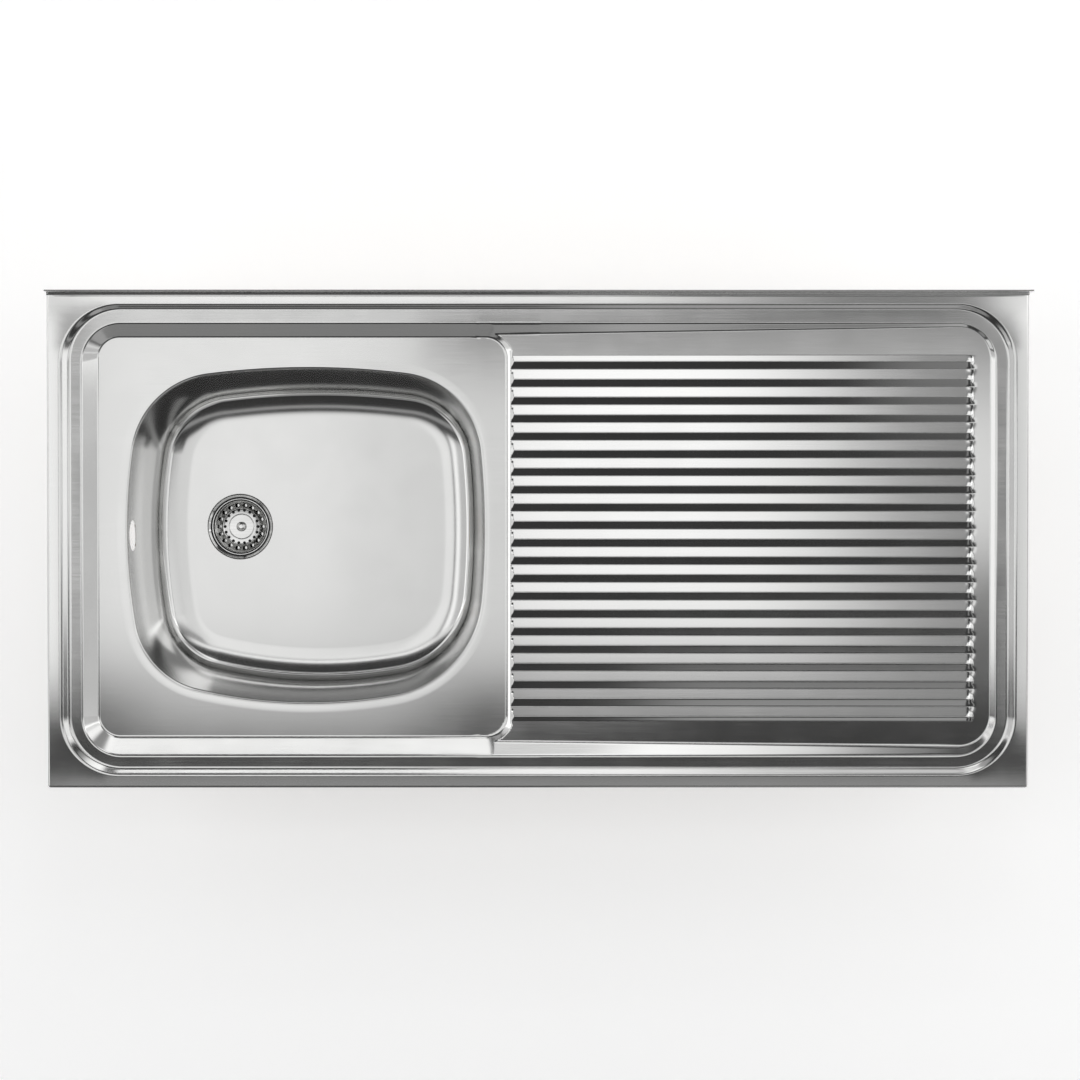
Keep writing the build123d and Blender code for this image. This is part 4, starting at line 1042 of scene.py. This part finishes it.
studio = {
    "floorLevel": -182.5,
    "floorColour": "#F4F4F4",
    "glow": 0.42,  # of the floor, towards the camera
    "floorRadius": 9.0,  # metres
    "radius": 3.3,  # metres, of the tent
    "height": 3.2,  # panels are laid out in metres on a ceiling this high, x to the right and y to the back
    "horizon": 0.06,  # metres above which the tent is laid out on that ceiling
    "room": 0.05,
    "panels": [
        # x from, x to, y from, y to, softness in x, softness in y, strength
        (-1.12, 0.25, -0.37, 0.33, 0.06, 0.07, 0.97),  # overhead, left half
        (0.25, 1.1, -0.12, 0.31, 0.06, 0.12, 1.1),  # overhead, right half
        (0.5, 1.2, -0.38, -0.2, 0.2, 0.07, 0.17),
        (-0.95, -0.25, -0.5, -0.37, 0.15, 0.07, 0.7),
        (-1.12, -0.45, -0.3, 0.36, 0.06, 0.12, 0.2),
        (-1.12, -0.25, 0.33, 0.56, 0.06, 0.07, 1.15),  # behind the overhead panel
        (-0.25, 1.2, 0.31, 0.56, 0.1, 0.07, 0.34),
        (-30, 0.4, 0.62, 0.8, 0.35, 0.07, 1.3),  # back, near
        (-30, -1.15, 0.62, 0.8, 0.1, 0.07, -0.35),
        (1.1, 30, 0.55, 0.8, 0.1, 0.07, 0.9),
        (-30, 30, 0.62, 0.82, 0.1, 0.07, 0.33),
        (-30, 30, 1.3, 30, 0.1, 0.07, 0.33),
        # black flags behind on the left keep the bowl's front wall dark, with a narrow strip between them
        (-30, -0.25, 1.3, 5.4, 0.1, 0.07, -0.33),
        (-30, -0.25, 1.6, 2.55, 0.1, 0.16, -1.1),
        (-30, -0.25, 2.4, 3.2, 0.1, 0.16, -0.5),
        (-30, -0.25, 3.05, 3.5, 0.1, 0.15, -1.1),
        (-30, -0.25, 3.15, 3.44, 0.1, 0.05, 2.0),  # slit that lights the front steps
        (-30, -0.25, 3.5, 5.4, 0.1, 0.15, -0.45),
        (-30, -0.25, 2.05, 2.75, 0.1, 0.15, 0.42),
        (-30, 0.76, 1.6, 2.55, 0.36, 0.16, 1.1),  # back, far
        (-30, 0.7, 2.4, 3.2, 0.36, 0.16, 0.5),
        (-30, 0.55, 3.05, 3.5, 0.3, 0.15, 1.1),  # back, low
        (0.55, 30, 3.1, 3.5, 0.3, 0.12, 0.55),
        (-30, 30, 3.5, 30, 0.3, 0.15, 0.45),
        (0.7, 30, 5.0, 30, 0.3, 0.5, 0.6),
        (-1.6, -1.25, -0.42, 0.6, 0.1, 0.06, 1.5),  # left side
        (-2.35, -1.6, -0.42, 0.6, 0.1, 0.06, 0.7),
        (-30, -2.35, -3.0, 3.0, 0.15, 0.5, 0.85),
        (-30, -2.9, -3.0, 3.0, 0.2, 0.5, 0.08),
        (-3.7, -2.85, -0.9, 0.9, 0.12, 0.3, 0.85),
        (1.25, 1.5, -0.5, 0.6, 0.06, 0.06, 1.12),  # right side
        (1.5, 1.9, -0.3, 0.7, 0.06, 0.12, 1.3),
        (1.9, 3.1, -0.6, 2.2, 0.1, 0.3, 1.1),
        (3.1, 30, -3.0, 3.0, 0.2, 0.5, 0.7),
        (-30, 30, -0.98, -0.76, 0.3, 0.04, 0.42),  # narrow strip in front
        (0.9, 30, -2.5, -1.9, 0.1, 0.15, 0.28),
        (0.3, 30, -6.0, -3.5, 0.2, 0.1, 0.45),  # front, low
        (-30, 0.4, -5.9, -4.3, 0.2, 0.3, 0.3),
        (-30, 30, -9.0, -6.0, 0.3, 0.5, 0.26),
        (0.25, 30, -60, -9.0, 0.25, 0.5, 0.5),
    ],
}


# white cloth lit from behind: the brightness changes softly, so the steel shows bands without hard edges
tentMaterial, tree, place = newMaterial("backlitTentCloth")
split = addNode(tree, "SeparateXYZ", {0: place})
high = addNode(tree, "Math", {0: split.outputs[2], 1: studio["horizon"]}, operation="MAXIMUM")
ceiling = []
for axis in (0, 1):
    tilt = addNode(tree, "Math", {0: split.outputs[axis], 1: high}, operation="DIVIDE")
    ceiling.append(addNode(tree, "Math", {0: tilt, 1: studio["height"]}, operation="MULTIPLY"))
total = studio["room"]
for x0, x1, y0, y1, softX, softY, strength in studio["panels"]:
    share = None
    for value, edge, soft, after in ((ceiling[0], x0, softX, 1), (ceiling[0], x1, softX, 0),
                                     (ceiling[1], y0, softY, 1), (ceiling[1], y1, softY, 0)):
        if abs(edge) < 30:
            step = addNode(tree, "MapRange",
                           {"Value": value, "From Min": edge - soft, "From Max": edge + soft,
                            "To Min": 1 - after, "To Max": after}, interpolation_type="SMOOTHSTEP")
            share = addNode(tree, "Math", {0: share, 1: step}, operation="MULTIPLY") if share else step
    total = addNode(tree, "Math", {0: share, 1: strength, 2: total}, operation="MULTIPLY_ADD")
light = addNode(tree, "Emission", {"Strength": total})
addNode(tree, "OutputMaterial", {"Surface": light})
turns = 96
points = [(studio["radius"] * math.cos(a) * math.cos(b), studio["radius"] * math.cos(a) * math.sin(b),
           studio["radius"] * math.sin(a))
          for a in np.radians(np.linspace(-3.1, 90, 33)) for b in np.linspace(0, 2 * math.pi, turns + 1)[:-1]]
faces = [(j + i, j + (i + 1) % turns, j + turns + (i + 1) % turns, j + turns + i)
         for j in range(0, len(points) - turns, turns) for i in range(turns)]
tent = addMesh("LightTent", points, faces, tentMaterial)
tent.visible_camera = False
tent.visible_shadow = False

# matt white painted board, with a little glow towards the camera so that it stays white beside the shadow
floorMaterial, tree, place = newMaterial("whitePaintedBoard")
speck = addNode(tree, "TexNoise", {"Vector": place, "Scale": perMetre(30.0)})
tone = addNode(tree, "MapRange", {"Value": speck, "To Min": 0.97, "To Max": 1.0})
paint = addNode(tree, "Mix", {0: tone, 6: (0.8, 0.8, 0.8, 1), 7: linear(studio["floorColour"])},
                data_type="RGBA")
matt = addNode(tree, "BsdfDiffuse", {"Color": paint})
path = addNode(tree, "LightPath")
seen = path.outputs["Is Camera Ray"]
for ray in ("Is Glossy Ray", "Is Transmission Ray"):
    seen = addNode(tree, "Math", {0: seen, 1: path.outputs[ray]}, operation="ADD")
seen = addNode(tree, "Math", {0: seen, 1: studio["glow"]}, operation="MULTIPLY")
glow = addNode(tree, "Emission", {"Strength": seen})
both = addNode(tree, "AddShader", {0: matt, 1: glow})
addNode(tree, "OutputMaterial", {"Surface": both})
outline = [(x, y, studio["floorLevel"] * mm) for x, y in circle((0, 0), studio["floorRadius"])]
addMesh("Floor", outline, [tuple(range(len(outline)))], floorMaterial)

world = bpy.data.worlds.new("whiteSurround")
bpy.context.scene.world = world
world.use_nodes = True
tree = world.node_tree
tree.nodes.clear()
white = addNode(tree, "Background", {"Color": (1, 1, 1, 1), "Strength": 1.0})
addNode(tree, "OutputWorld", {"Surface": white})
bpy.context.scene.view_settings.view_transform = "Standard"
print("studio set")
